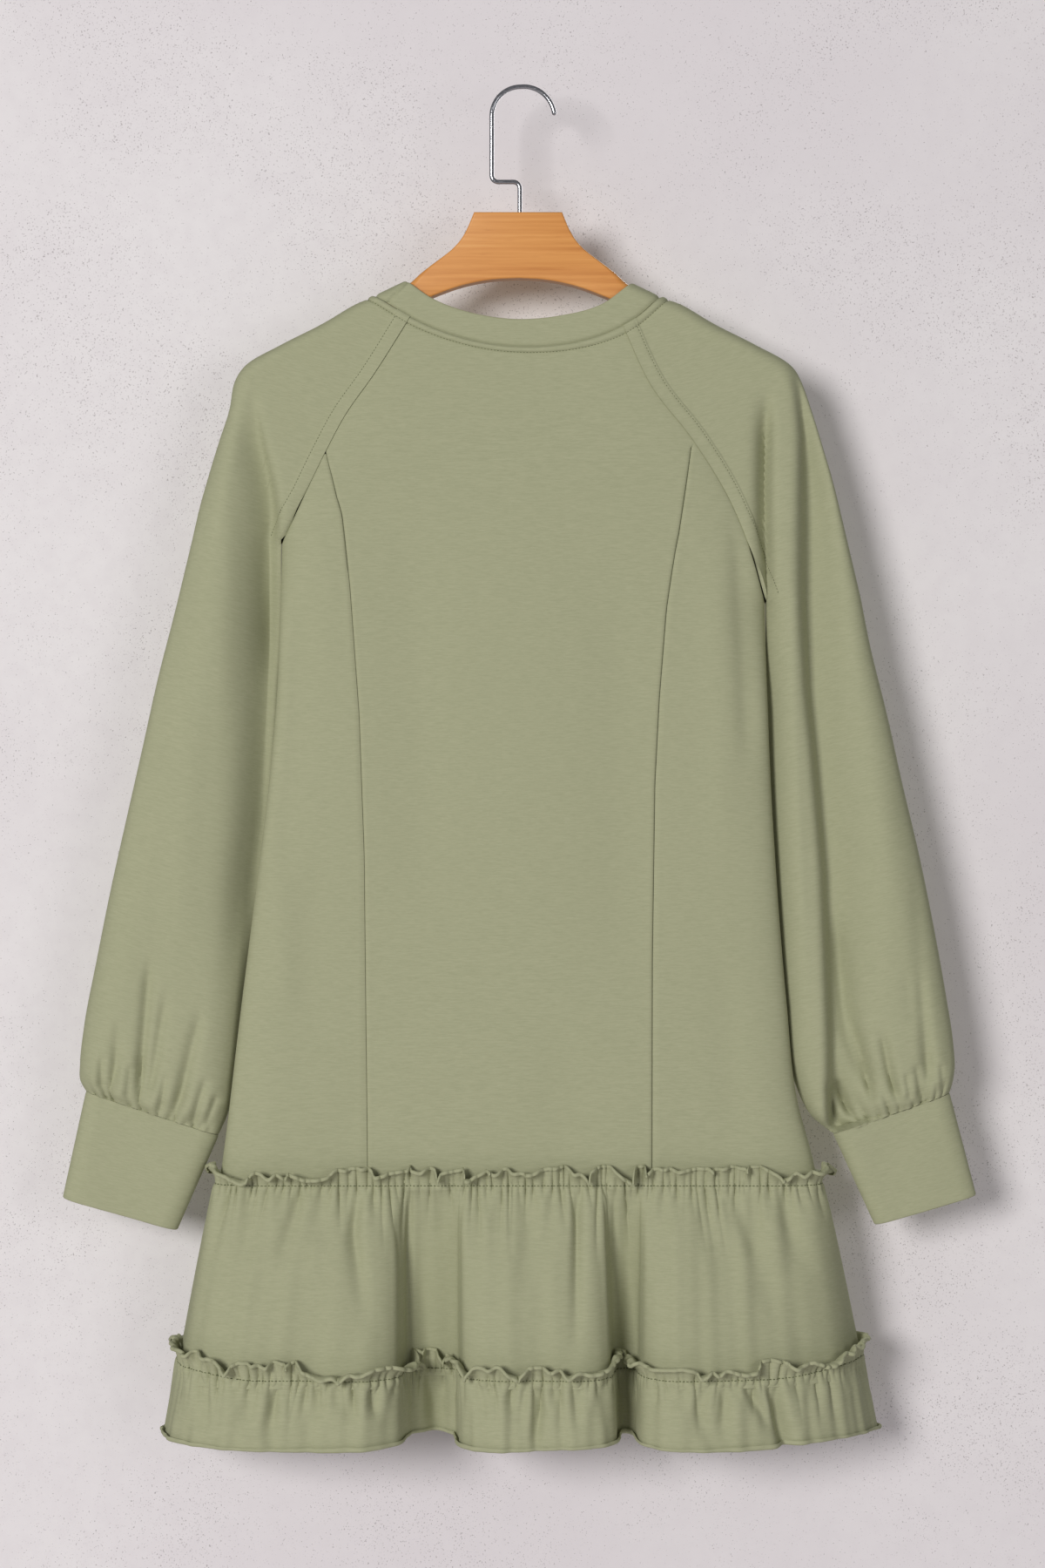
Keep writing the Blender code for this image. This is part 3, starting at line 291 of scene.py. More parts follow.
# Folds that fall from the gather lines. Each: points in pixels of the photo, depth and half width.
UPPER_FOLDS = (
    (((262, 1366), (252, 1410), (240, 1460)), 1.6, 6), (((288, 1366), (270, 1480)), 2.6, 7),
    (((303, 1368), (292, 1450)), 1.8, 5), (((322, 1368), (316, 1400)), 1.3, 4),
    (((341, 1368), (337, 1404), (322, 1450)), 3.2, 5), (((372, 1368), (360, 1425)), 1.8, 5),
    (((396, 1369), (384, 1424)), 1.6, 5), (((410, 1369), (405, 1418), (414, 1472), (421, 1530)), 2.8, 5),
    (((428, 1370), (434, 1416)), 1.6, 4), (((449, 1370), (456, 1470)), 2.0, 5),
    (((548, 1368), (545, 1480)), 1.6, 5), (((560, 1368), (556, 1404)), 1.4, 4),
    (((575, 1368), (566, 1450)), 1.6, 6), (((598, 1368), (592, 1430)), 1.9, 5),
    (((612, 1368), (604, 1480)), 2.4, 6), (((635, 1368), (628, 1450)), 1.8, 5),
    (((648, 1368), (646, 1400)), 1.2, 4), (((664, 1368), (661, 1560)), 3.4, 4),
    (((764, 1368), (752, 1440)), 1.8, 5), (((781, 1368), (773, 1404)), 1.5, 4),
    (((798, 1368), (790, 1396)), 1.3, 4), (((811, 1369), (816, 1420), (822, 1470)), 2.0, 6),
    (((830, 1369), (842, 1414)), 1.9, 4), (((845, 1369), (856, 1414), (872, 1450)), 3.0, 5),
    (((864, 1369), (870, 1420), (876, 1500)), 2.4, 6), (((882, 1368), (890, 1402)), 1.5, 4),
    (((899, 1367), (910, 1412), (924, 1470)), 3.2, 6), (((921, 1366), (928, 1400)), 1.5, 4),
    (((938, 1364), (948, 1398)), 1.4, 4), (((836, 1430), (826, 1540)), 1.2, 12),
    (((469, 1360), (467, 1440), (466, 1530), (465, 1700)), 5.0, 3),
    (((706, 1360), (706, 1440), (707, 1530), (708, 1700)), 4.5, 3), (((505, 1372), (512, 1440)), 2.0, 7),
    (((742, 1366), (745, 1420), (742, 1480)), 2.2, 6),
    (((300, 1470), (280, 1555)), 1.0, 14), (((362, 1440), (352, 1560)), -0.9, 16),
    (((884, 1480), (892, 1560)), 1.0, 14),
)
LOWER_FOLDS = (
    (((212, 1574), (208, 1630)), 1.5, 4), (((232, 1575), (238, 1612), (237, 1640)), 2.4, 4),
    (((258, 1578), (254, 1604)), 1.4, 4), (((272, 1580), (274, 1610)), 1.4, 4),
    (((290, 1583), (285, 1640)), 2.0, 4), (((318, 1586), (314, 1616), (304, 1650)), 2.4, 4),
    (((330, 1588), (330, 1612)), 1.3, 4), (((352, 1590), (348, 1630)), 1.4, 4),
    (((367, 1591), (367, 1628)), 1.9, 4), (((388, 1592), (393, 1620)), 1.5, 4),
    (((408, 1593), (405, 1630)), 1.5, 4), (((427, 1594), (430, 1626)), 2.0, 4),
    (((449, 1594), (447, 1640)), 1.8, 4), (((488, 1574), (492, 1602), (500, 1640)), 3.0, 5),
    (((512, 1576), (518, 1610)), 1.6, 4), (((553, 1592), (554, 1624)), 1.8, 4),
    (((564, 1592), (566, 1612)), 1.3, 4), (((587, 1593), (584, 1616)), 1.5, 4),
    (((602, 1594), (594, 1640)), 1.6, 4), (((618, 1594), (621, 1615), (614, 1655)), 2.8, 4),
    (((638, 1593), (637, 1614)), 1.4, 4), (((663, 1591), (661, 1640)), 2.0, 5),
    (((688, 1588), (686, 1640)), 1.8, 5), (((755, 1582), (752, 1610)), 1.6, 4),
    (((768, 1584), (774, 1608)), 1.6, 4), (((786, 1586), (780, 1616)), 1.5, 4),
    (((807, 1588), (803, 1612), (810, 1655)), 2.8, 4), (((827, 1589), (830, 1606), (826, 1650)), 2.2, 4),
    (((840, 1589), (843, 1604)), 1.3, 4), (((855, 1588), (874, 1618), (893, 1656)), 3.0, 4),
    (((876, 1556), (892, 1622), (903, 1660), (906, 1700)), 8.0, 4),
    (((500, 1540), (503, 1800)), 6.0, 8), (((717, 1540), (717, 1800)), 5.0, 6),
    (((910, 1578), (914, 1604)), 1.5, 4), (((930, 1577), (934, 1612)), 1.8, 5),
    (((952, 1575), (954, 1600)), 1.4, 4), (((972, 1573), (978, 1606)), 1.6, 4),
    (((992, 1570), (998, 1620)), 1.6, 5),
)
# The deep recesses between the lobes, which both tiers follow.
RECESSES = (
    (((479, 1330), (483, 1450), (489, 1560), (491, 1900)), 4.4, 8),
    (((506, 1330), (512, 1900)), 2.4, 9),
    (((723, 1330), (724, 1450), (722, 1560), (721, 1900)), 4.8, 8),
)
# Near headings: how far their raw rim stands above the gather line, in pixels, at pixels of the photo.
UPPER_RIM = (
    (249, 26), (256, 15), (266, 12), (280, -2), (287, 2), (295, 12), (310, 8), (326, 9), (331, 12),
    (338, 7), (352, 7), (378, 8), (386, 16), (395, 20), (406, 19), (412, 22), (422, 19), (429, 9),
    (434, 8), (446, 17), (460, 19), (466, 18), (471, 25), (476, 14), (486, 18), (497, 20), (503, -2),
    (509, 10), (520, 16), (529, 21), (534, 5), (541, 5), (545, 12), (556, 17), (562, 10), (566, 13),
    (583, 20), (597, 12), (603, 7), (612, 11), (620, 19), (641, 25), (656, 18), (676, 0), (681, 16),
    (697, 27), (707, 14), (726, -3), (731, 24), (735, 32), (741, 12), (750, 18), (768, 22), (778, 12),
    (800, 20), (811, 22), (818, 15), (832, 22), (842, 24), (849, 26), (857, 16), (867, 26), (880, 16),
    (896, 4), (912, 12), (930, 12), (945, 25), (956, 22),
)
LOWER_RIM = (
    (203, 28), (212, 22), (222, 14), (229, 22), (234, 26), (243, 16), (256, 14), (265, -1), (272, 16),
    (283, 25), (291, 16), (306, 18), (322, 26), (328, 14), (340, 22), (348, 8), (362, 4), (391, -6),
    (410, 8), (440, 12), (452, 9), (470, -4), (476, 22), (484, 16), (493, 30), (500, 24), (513, -1),
    (522, 12), (538, 16), (547, -4), (554, 12), (571, 16), (585, 6), (594, -4), (606, 14), (640, 12),
    (656, 2), (672, 8), (690, 14), (700, 22), (712, 34), (722, 20), (730, 14), (744, 14), (770, 16),
    (784, 16), (800, 2), (824, 8), (854, 8), (866, 14), (878, 28), (892, 22), (898, 14), (916, 8),
    (924, 12), (936, 4), (946, 4), (966, 16), (984, 20), (996, 26), (1004, 26),
)
# Pixels where a heading's rim is drawn tightly together, with how tightly.
UPPER_CURLS = (
    (287, 0.9), (331, 1.0), (429, 0.8), (471, 1.1), (503, 1.0), (534, 1.1), (562, 1.0), (603, 0.8),
    (676, 0.9), (726, 1.0), (741, 1.1), (818, 1.1), (857, 1.0), (896, 0.7),
)
LOWER_CURLS = (
    (229, 0.9), (265, 0.9), (272, 1.1), (328, 1.1), (391, 0.8), (470, 1.0), (513, 1.0), (547, 1.1),
    (594, 0.9), (712, 1.0), (744, 0.8), (800, 0.7), (866, 1.0), (898, 1.0), (936, 0.9),
)
HEADING = 15.0
CURL_HALF_WIDTH = 4.2
RIM_ROLL = 1.0
HEM_ROLL = 1.25
GATHER_DEPTH = 4.6
GATHER_SWELL = 1.5
GATHER_HALF = 1.25
GATHER_SWELL_FADE = 16.0
GATHER_STEPS = (3.4, 8.4)
# The folds of a tier grow from the gather line: least depth, growth, and from what distance below it.
FOLD_LIMIT = (1.2, 0.62, 2.5)
SIDE_LIFT = 7.0
NEAR_CLOTH_Y = 0.045
TIER_TOP_ROWS = (0.6, 1.4, 2.6, 4, 5.6, 7.6, 10, 13)
# What differs between the tiers: the rows below the gather line, how far they stand off the body, the
# longest gather, the soft wave's length, its height and where it is full, and how strong the folds are.
UPPER_TIER = SimpleNamespace(
    gather_z=GATHER_Z, length=148.0, rows=28, stand=2.4, seed=7, longest=66, wave=27, wave_height=0.45,
    wave_fade=30, folds=UPPER_FOLDS, strength=2.7, rim=UPPER_RIM, curls=UPPER_CURLS, hem=False,
)
LOWER_TIER = SimpleNamespace(
    gather_z=SECOND_GATHER_Z, length=49.0, rows=12, stand=4.4, seed=0, longest=56, wave=21, wave_height=0.7,
    wave_fade=22, folds=LOWER_FOLDS, strength=3.6, rim=LOWER_RIM, curls=LOWER_CURLS, hem=True,
)

HOOK_WIRE = 1.75
CROWN_RADIUS = 21.4 + 1.75 / 2
CROWN_OPENS = 3.6
CROWN_END = math.radians(86)
HOOK_JOG_Z = -71.5
HOOK_BEND = 5.0
STEM_X = -0.7
STEM_IN_WOOD = 16.0
WOOD_TOP_Z = -95.7
WOOD_HALF_THICK = 7.0
WOOD_TOP = ((33.8, -95.7, 1.6), (36, -101, 1.6), (39, -108, 1.6), (43.5, -116, 1.6), (50, -123.5, 1.6),
            (58, -130, 1.6), (67, -136.6, 2), (75, -142.6, 3.5), (82, -148.8, 5), (87, -152.6, 5),
            (98, -158.2, 5), (110, -164.6, 5), (125.4, -169.4, 5), (145.4, -181.4, 5), (181.6, -200, 5),
            (198, -209.6, 5), (208.6, -216.4, 5), (213.4, -222.6, 5), (215, -229, 5))
WOOD_UNDER = ((212, -236, 5), (206, -240.6, 5), (196, -239, 5), (180, -229, 5), (150, -209.5, 5),
              (120, -190.5, 5), (98, -176.5, 4), (80, -166.8, 2), (62, -158.8, 1.6), (42, -151.8, 1.6),
              (20, -147.6, 1.6))
WOOD_ARCH_Z = -146.4

# The stage, in metres. The wall's heights are its bottom and top.
FLOOR_Z = -1.75
FLOOR_HALF = 2.05
WALL_Y = 0.066
WALL_HALF = 1.0
WALL_HEIGHTS = (-1.6, 0.5)
SURROUNDING_LIGHT = (214, 213, 216)
SURROUNDING_POWER = 0.31
# Columns: name, place, target, size, power, colour.
LIGHTS = (
    ("key", (-2.4, -4.7, 0.3), (0, 0, -0.55), 1.8, 188, (1.0, 0.99, 0.97)),
    ("fill", (2.3, -3.4, -0.3), (0, 0, -0.6), 1.6, 18, (1.0, 1.0, 1.0)),
    ("behind", (0.9, 2.2, 0.3), (0, 0, -0.6), 1.8, 30, (1.0, 1.0, 1.0)),
)

# Colours as they show, 0 to 255.
JERSEY_LIGHT = (169, 170, 139)
JERSEY_DARK = (158, 160, 129)
JERSEY_PALE = (176, 177, 149)
# The thread is its own olive colour, darkened further as painted shade of the stitch holes.
THREAD_AND_HOLE_SHADE = (104, 108, 76)
THREAD_DARK_AND_HOLE_SHADE = (78, 82, 54)

# What each cloth piece was cut to: width and length in metres, and the area where it isn't a rectangle.
CUT = {
    "back_center": (0.30, 0.66, 0.16),
    "back_side_left": (0.12, 0.60, 0.048),
    "back_side_right": (0.14, 0.60, 0.055),
    "front_panel": (0.47, 0.62, 0.24),
    "neckband": (0.60, 0.023, None),
    "sleeve_left": (0.34, 0.66, 0.17),
    "sleeve_right": (0.34, 0.66, 0.17),
    "cuff_left": (0.20, 0.085, None),
    "cuff_right": (0.20, 0.085, None),
    "tier_upper_back": (0.78, 0.17, None),
    "tier_upper_front": (0.74, 0.17, None),
    "tier_lower_back": (0.86, 0.075, None),
    "tier_lower_front": (0.80, 0.075, None),
}
# How far a piece's grain turns from upright, in degrees.
GRAIN_TURN = {"sleeve_left": -13, "cuff_left": -13, "sleeve_right": 13, "cuff_right": 13}
# A row of stitches: pitch, length and radius.
SEAM_STITCHES = (2.5, 1.7, 0.27)
GATHER_STITCHES = (2.9, 2.1, 0.42)


def plane(points):
    """Points of the photo, in pixels, as x and z in millimetres."""
    return (np.array(points, float) - ORIGIN_PIXEL) * (PIXEL, -PIXEL)


class Line:
    """A smooth line through the rows of a table, read at a share of its length."""

    def __init__(self, rows, measured=(0, 1)):
        self.rows = np.array(rows, float)
        steps = np.linalg.norm(np.diff(self.rows[:, list(measured)], axis=0), axis=1)
        self.length = steps.sum()
        self.knots = np.concatenate([[0], np.cumsum(steps)]) / self.length
        self.slopes = np.gradient(self.rows, self.knots, axis=0)

    def at(self, share):
        share = np.clip(share, 0, 1)
        i = np.clip(np.searchsorted(self.knots, share, side="right") - 1, 0, len(self.rows) - 2)
        gap = (self.knots[i + 1] - self.knots[i])[..., None]
        f = (share - self.knots[i])[..., None] / gap
        start, end = self.rows[i], self.rows[i + 1]
        leaving, arriving = self.slopes[i] * gap, self.slopes[i + 1] * gap
        return (start * (2 * f**3 - 3 * f**2 + 1) + leaving * (f**3 - 2 * f**2 + f)
                + end * (3 * f**2 - 2 * f**3) + arriving * (f**3 - f**2))


def column(table, where, number):
    rows = np.array(sorted(table), float)
    return np.interp(where, rows[:, 0], rows[:, number])


def across(c):
    return (1 - np.cos(np.pi * np.clip(c, 0, 1))) / 2


def column_at(share):
    return np.arccos(1 - 2 * np.clip(share, 0, 1)) / np.pi


def rounded(distance, radius):
    near = 1 - np.clip(distance / radius, 0, 1)
    return np.sqrt(1 - near**2)


def smooth(x):
    x = np.clip(x, 0, 1)
    return x * x * (3 - 2 * x)


def bump(x, width):
    return np.exp(-((x / width) ** 2))


def between(a, b, share):
    return a + (b - a) * share[..., None]


def unit(vectors):
    return vectors / np.maximum(np.linalg.norm(vectors, axis=-1), 1e-9)[..., None]


def swell(shape, where):
    amount, centre, width = shape
    return amount * bump(where - centre, width)


def along_x(amount):
    return np.stack([amount, 0 * amount], -1)


def level(flat):
    """Directions in plan as directions in space."""
    return np.stack([flat[..., 0], flat[..., 1], 0 * flat[..., 0]], -1)


def run_along(grid):
    """The distance of each point from the start of its row."""
    steps = np.linalg.norm(np.diff(grid, axis=-2), axis=-1)
    return np.concatenate([np.zeros((*steps.shape[:-1], 1)), np.cumsum(steps, -1)], -1)


def gather_list(seed, total, closest, widest, longest):
    """Uneven little valleys along a gather line. Columns: place, depth, half width, length, slant."""
    chance = np.random.default_rng(seed)
    steps = chance.uniform(closest, widest, int(total / closest) + 2)
    places = np.cumsum(steps)
    places = places[places < total]
    count = len(places)
    deep = chance.uniform(0.42, 1.0, count) ** 1.2
    lengths = longest * (0.16 + 0.84 * chance.uniform(0, 1, count) ** 2.2)
    return np.stack([places, deep, chance.uniform(0.75, 1.35, count), lengths,
                     chance.uniform(-0.14, 0.14, count)], 1)


def gathers_at(rows, run, away, depth, half):
    """The depth of a list of valleys at a distance from their gather line. They widen and fade with it."""
    total = np.zeros(np.broadcast(run, away).shape)
    for place, deep, wide, length, slant in rows:
        share = np.clip(away / length, 0, 1)
        near = (run - place - slant * away) / (half * wide * (1 + 1.5 * share))
        total = total + depth * deep * (1 - share) ** 1.2 * np.exp(-(np.abs(near) ** 1.5))
    return total


cuff_gathers = {(side, face): gather_list(20 + 3 * side + face, *CUFF_GATHERS)
                for side in (LEFT, RIGHT) for face in (NEAR, FAR)}
neck_seam = {face: Line(NECK_SEAM[face]) for face in (NEAR, FAR)}
neck_edge = {face: Line(NECK_EDGE[face]) for face in (NEAR, FAR)}
raglan = {}
for (side, face), rows in RAGLAN.items():
    start = neck_seam[face].at(np.array(RAGLAN_START[side, face]))
    raglan[side, face] = Line([tuple(start)] + list(rows))
body_side = {side: Line(BODY_SIDE[side]) for side in (LEFT, RIGHT)}
shoulder = {}
for side in (LEFT, RIGHT):
    over_hanger = [(row, MIDDLE_X + side * away, z) for row, away, z in HANGER_FOLD]
    shoulder[side] = Line([FOLD_START[side]] + over_hanger + list(FOLD_END[side]), measured=(0,))
arm = {side: Line(ARM[side]) for side in (LEFT, RIGHT)}
arm_inside = {side: Line(ARM_INSIDE[side]) for side in (LEFT, RIGHT)}
skirt = {face: Line(SKIRT[face], measured=(1, 2)) for face in (NEAR, FAR)}


def joined(first, second, v):
    return np.where((v <= 1)[..., None], first.at(v), second.at(v - 1))


def outer_edge(side, v):
    return np.where((v <= 1)[..., None], shoulder[side].at(v)[..., 1:], arm[side].at(v - 1))


def seam_depth(v):
    return np.interp(v, (0, 0.5, 1), (NECK_DEPTH, SEAM_DEPTH, SEAM_DEPTH))


def seam_open(side, face, v, depth):
    left_over = (1 - np.clip(v, 0, 1)) * raglan[side, face].length
    return seam_depth(v) / depth * rounded(left_over, UNDERARM_ROUND)


def edge_shift(v, line, amount):
    return amount * smooth((v - 1) * line.length / EDGE_RAMP)


def reach(distance):
    return (1 - np.clip(distance / EDGE_REACH, 0, 1)) ** 2


def underarm_part(v):
    return UNDERARM_PART * rounded(np.clip(v, 0, 1) - PART_START, 1 - PART_START) * (v > PART_START)


def furrow(points, path, depth, left, right, fall=0.0):
    """The depth of one fold at points of the photo's plane, fading at its ends.

    With fall above 0 the fold starts sharp at its top, then spreads and dies out downward.
    """
    path = plane(path)
    steps = np.linalg.norm(np.diff(path, axis=0), axis=1)
    starts = np.concatenate([[0], np.cumsum(steps)])
    best = np.full(points.shape[:-1], 1e9)
    side_of, share = np.zeros(best.shape), np.zeros(best.shape)
    for k in range(len(steps)):
        a, b = path[k], path[k + 1]
        along = np.clip(((points - a) @ (b - a)) / ((b - a) @ (b - a)), 0, 1)
        gap = points - between(a, b, along)
        away = np.linalg.norm(gap, axis=-1)
        closer = away < best
        best = np.where(closer, away, best)
        side_of = np.where(closer, gap[..., 0], side_of)
        share = np.where(closer, (starts[k] + along * steps[k]) / starts[-1], share)
    width = np.where(side_of < 0, left, right) * (1 + fall * share)
    height = (1 - share) ** 0.8 if fall else smooth(share / 0.25) * smooth((1 - share) / 0.25)
    return depth * height * bump(best, width)


def folded(points, folds):
    return sum(furrow(points, *fold) for fold in folds)


def neck_shift(face, start, end, share, v, fade):
    """How far a row by the neck leaves its straight line to follow the neck seam."""
    seam = neck_seam[face]
    ends = between(seam.at(np.array(start)), seam.at(np.array(end)), share)
    return (seam.at(start + (end - start) * share) - ends) * (np.clip(1 - v, 0, 1) ** fade)[..., None]


def body_point(face, c, v, folds=True):
    """A point of the body: c runs across it from left to right, v down from the neck by the underarm."""
    c, v = np.broadcast_arrays(c, v)
    part = underarm_part(v)
    left = joined(raglan[LEFT, face], body_side[LEFT], v) + along_x(part)
    right = joined(raglan[RIGHT, face], body_side[RIGHT], v) - along_x(part)
    share = across(c)
    start, end = RAGLAN_START[LEFT, face], RAGLAN_START[RIGHT, face]
    point = between(left, right, share) + neck_shift(face, start, end, share, v, NECK_FADE_BODY)
    width = np.linalg.norm(right - left, axis=-1)
    from_left, from_right = share * width, (1 - share) * width
    row_z = (left[..., 1] + right[..., 1]) / 2
    depth = column(BODY_DEPTH, row_z, 1 if face == NEAR else 2)
    fold = column(BODY_DEPTH, row_z, 3)
    open_left = seam_open(LEFT, face, v, depth)
    open_right = seam_open(RIGHT, face, v, depth)
    half = depth * (open_left + (1 - open_left) * rounded(from_left, fold))
    half = half * (open_right + (1 - open_right) * rounded(from_right, fold))
    if folds:
        edges = rounded(from_left, FOLD_EDGE) * rounded(from_right, FOLD_EDGE)
        half = half - folded(point, BODY_FOLDS[face]) * edges * smooth((2 - v) / 0.06)
    middle = edge_shift(v, body_side[LEFT], BODY_EDGE_Y) * reach(from_left)
    middle = middle + edge_shift(v, body_side[RIGHT], BODY_EDGE_Y) * reach(from_right)
    return np.stack([point[..., 0], middle + face * half, point[..., 1]], -1)


def sleeve_point(side, face, c, v):
    """A point of a sleeve: c runs from its inner edge to its outer fold, v from the neck to the cuff."""
    c, v = np.broadcast_arrays(c, v)
    part = underarm_part(v) * np.clip((PART_CLOSES - v) / PART_CLOSING, 0, 1)
    inner = joined(raglan[side, face], arm_inside[side], v) + side * along_x(part)
    outer = outer_edge(side, v)
    share = across(c)
    start, end = RAGLAN_START[side, face], 0.0 if side == LEFT else 1.0
    point = between(inner, outer, share) + neck_shift(face, start, end, share, v, NECK_FADE_SLEEVE)
    width = np.linalg.norm(outer - inner, axis=-1)
    from_inner, from_outer = share * width, (1 - share) * width
    depth = column(SLEEVE_DEPTH, v, 1)
    opening = seam_open(side, face, v, depth)
    half = depth * (opening + (1 - opening) * rounded(from_inner, column(SLEEVE_DEPTH, v, 3)))
    round_outer = rounded(from_outer, column(SLEEVE_DEPTH, v, 2))
    above_cuff = (2 - v) * arm[side].length
    folds = folded(point, SLEEVE_FOLDS[side, face]) * smooth(above_cuff / 3.0)
    folds = folds * (1 + swell(CUFF_DEEPENING, above_cuff))
    puckers = -gathers_at(cuff_gathers[side, face], share * CUFF_GATHERS[0], above_cuff,
                          CUFF_GATHER_DEPTH, CUFF_GATHER_HALF) * smooth((above_cuff + 1) / 2.5)
    puckers = puckers + CUFF_PUCKER_RISE * np.exp(-above_cuff / CUFF_PUCKER_FADE)
    gathered = swell(CUFF_FULLNESS, above_cuff) * (0.75 + 0.25 * np.sin(31 * share + side))
    edge = rounded(from_inner, FOLD_EDGE)
    half = half - folds * round_outer * edge + (puckers + gathered * edge) * round_outer
    half = half * round_outer
    back = edge_shift(v, arm_inside[side], SLEEVE_EDGE_Y) * np.clip((2 - v) / EDGE_RETURN, 0, 1)
    return np.stack([point[..., 0], back * reach(from_inner) + face * half, point[..., 1]], -1)


def neckband_point(face, c, h):
    c, h = np.broadcast_arrays(c, h)
    share = across(c)
    point = between(neck_seam[face].at(share), neck_edge[face].at(share), h)
    length = neck_seam[face].length
    half = NECK_DEPTH * rounded(share * length, NECK_FOLD) * rounded((1 - share) * length, NECK_FOLD)
    return np.stack([point[..., 0], face * half, point[..., 1]], -1)


def cuff_point(side, face, c, h):
    c, h = np.broadcast_arrays(c, h)
    inner, outer = (np.array(CUFF_EDGE[side, edge], float) for edge in ("inner", "outer"))
    start = between(inner[:2], inner[2:], h)
    end = between(outer[:2], outer[2:], h)
    share = across(c)
    point = between(start, end, share)
    width = np.linalg.norm(end - start, axis=-1)
    half = CUFF_DEPTH[0] + (CUFF_DEPTH[1] - CUFF_DEPTH[0]) * h
    soft = 0.5 * np.sin(2 * np.pi * (1.3 * share + 0.4 * h + 0.2 * side)) * smooth(h / 0.3)
    soft = soft - swell(CUFF_DENT, h * CUFF_DENT_RUN)
    half = (half + soft) * rounded(share * width, CUFF_FOLD) * rounded((1 - share) * width, CUFF_FOLD)
    return np.stack([point[..., 0], face * half, point[..., 1]], -1)


def skirt_plan(face, share, down):
    row = skirt[face].at(share)
    left, right = body_side[LEFT].rows[-1, 0], body_side[RIGHT].rows[-1, 0]
    c = column_at((row[..., 0] - left) / (right - left))
    body = body_point(face, c, np.array(2.0), folds=False)
    recess = smooth((row[..., 2] + RECESS_Y[0]) / RECESS_Y[1])
    recess = recess * smooth((RECESS_X[0] - np.abs(row[..., 0])) / RECESS_X[1])
    sideways = down**FLARE_SIDEWAYS
    deep = 1 - (1 - down) ** (FLARE_DEEP + RECESS_FLARE * recess * (face == NEAR))
    x = row[..., 0] + (row[..., 1] - row[..., 0]) * sideways
    y = body[..., 1] + (row[..., 2] - body[..., 1]) * deep
    return np.stack([x, y], -1), row[..., 3]


def ring(function, r, v):
    near = function(NEAR, np.clip(r, 0, 1), v)
    far = function(FAR, np.clip(2 - r, 0, 1), v)
    return np.where((r <= 1)[..., None], near, far)


def grid_normals(grid, wrapped_from=None):
    """Directions out of a grid of points, from its neighbours. Wrapped rows meet at their ends."""
    along = np.empty(grid.shape)
    along[:, 1:-1] = grid[:, 2:] - grid[:, :-2]
    along[:, 0] = grid[:, 1] - grid[:, 0]
    along[:, -1] = grid[:, -1] - grid[:, -2]
    if wrapped_from is not None:
        meeting = grid[wrapped_from:, 1] - grid[wrapped_from:, -2]
        along[wrapped_from:, 0] = along[wrapped_from:, -1] = meeting
    down = np.empty(grid.shape)
    down[1:-1] = grid[2:] - grid[:-2]
    down[0] = grid[1] - grid[0]
    down[-1] = grid[-1] - grid[-2]
    return unit(np.cross(down, along))


def add_mesh(name, points, faces):
    mesh = bpy.data.meshes.new(name)
    mesh.from_pydata((np.asarray(points) * METRES).tolist(), [], [list(map(int, face)) for face in faces])
    mesh.validate()
    mesh.shade_smooth()
    mesh.set_sharp_from_angle(angle=SHARP_ANGLE)
    piece = bpy.data.objects.new(name, mesh)
    bpy.context.scene.collection.objects.link(piece)
    return piece


def skin(name, outer, inner, joined_from=None):
    """A closed wall between two grids. From row joined_from down the last column joins the first."""
    rows, columns = outer.shape[:2]
    number = np.arange(rows * columns).reshape(rows, columns)
    if joined_from is not None:
        number[joined_from:, -1] = number[joined_from:, 0]
    used, number = np.unique(number, return_inverse=True)
    number = number.reshape(rows, columns)
    count = len(used)
    points = np.concatenate([outer.reshape(-1, 3)[used], inner.reshape(-1, 3)[used]])
    quads = np.stack([number[:-1, :-1], number[1:, :-1], number[1:, 1:], number[:-1, 1:]], -1)
    quads = quads.reshape(-1, 4)
    ends = np.concatenate([quads[:, [k, (k + 1) % 4]] for k in range(4)])
    loose = ends[~np.isin(ends[:, 0] * count + ends[:, 1], ends[:, 1] * count + ends[:, 0])]
    rim = np.stack([loose[:, 1], loose[:, 0], loose[:, 0] + count, loose[:, 1] + count], -1)
    return add_mesh(name, points, np.concatenate([quads, quads[:, ::-1] + count, rim]))


def face_out(piece):
    mesh = piece.data
    corners = np.empty(len(mesh.vertices) * 3)
    mesh.vertices.foreach_get("co", corners)
    corners = corners.reshape(-1, 3)
    mesh.calc_loop_triangles()
    triangles = np.empty(len(mesh.loop_triangles) * 3, int)
    mesh.loop_triangles.foreach_get("vertices", triangles)
    a, b, c = (corners[triangles.reshape(-1, 3)[:, k]] for k in range(3))
    if np.einsum("ij,ij->i", a, np.cross(b, c)).sum() < 0:
        mesh.flip_normals()
    return piece


def shell(name, grid, normals, thick, lift=0.0, joined_from=None):
    """Cloth round a grid of middle points. Its outer face is lifted, for bands and stitched dips."""
    thick = np.broadcast_to(thick, grid.shape[:2])
    lift = np.broadcast_to(lift, grid.shape[:2])
    outer = grid + normals * (thick / 2 + lift)[..., None]
    inner = grid - normals * (thick / 2)[..., None]
    return face_out(skin(name, outer, inner, joined_from)), outer


def flattened(normals, face, v, chosen):
    share = np.clip((RAGLAN_FLAT_END - v) / 0.1, 0, 1) * chosen
    return unit(between(normals, np.array([0.0, face, 0.0]), share))


def facing(normals, face, row, col):
    return -normals if normals[row, col, 1] * face < 0 else normals


def band_lift(v):
    """The neck's turned-in seam edge under the cloth, with its stitched line as a dip."""
    away = v * RAGLAN_MM
    return 1.3 * smooth((7.4 - away) / 5.0) - bump(away - NECK_STITCH_LINE, 0.7) - 1.2 * bump(away, 1.0)


def seam_dip(distance):
    return -0.85 * bump(distance, 1.0) + 0.1 * bump(distance - 3.2, 1.8)


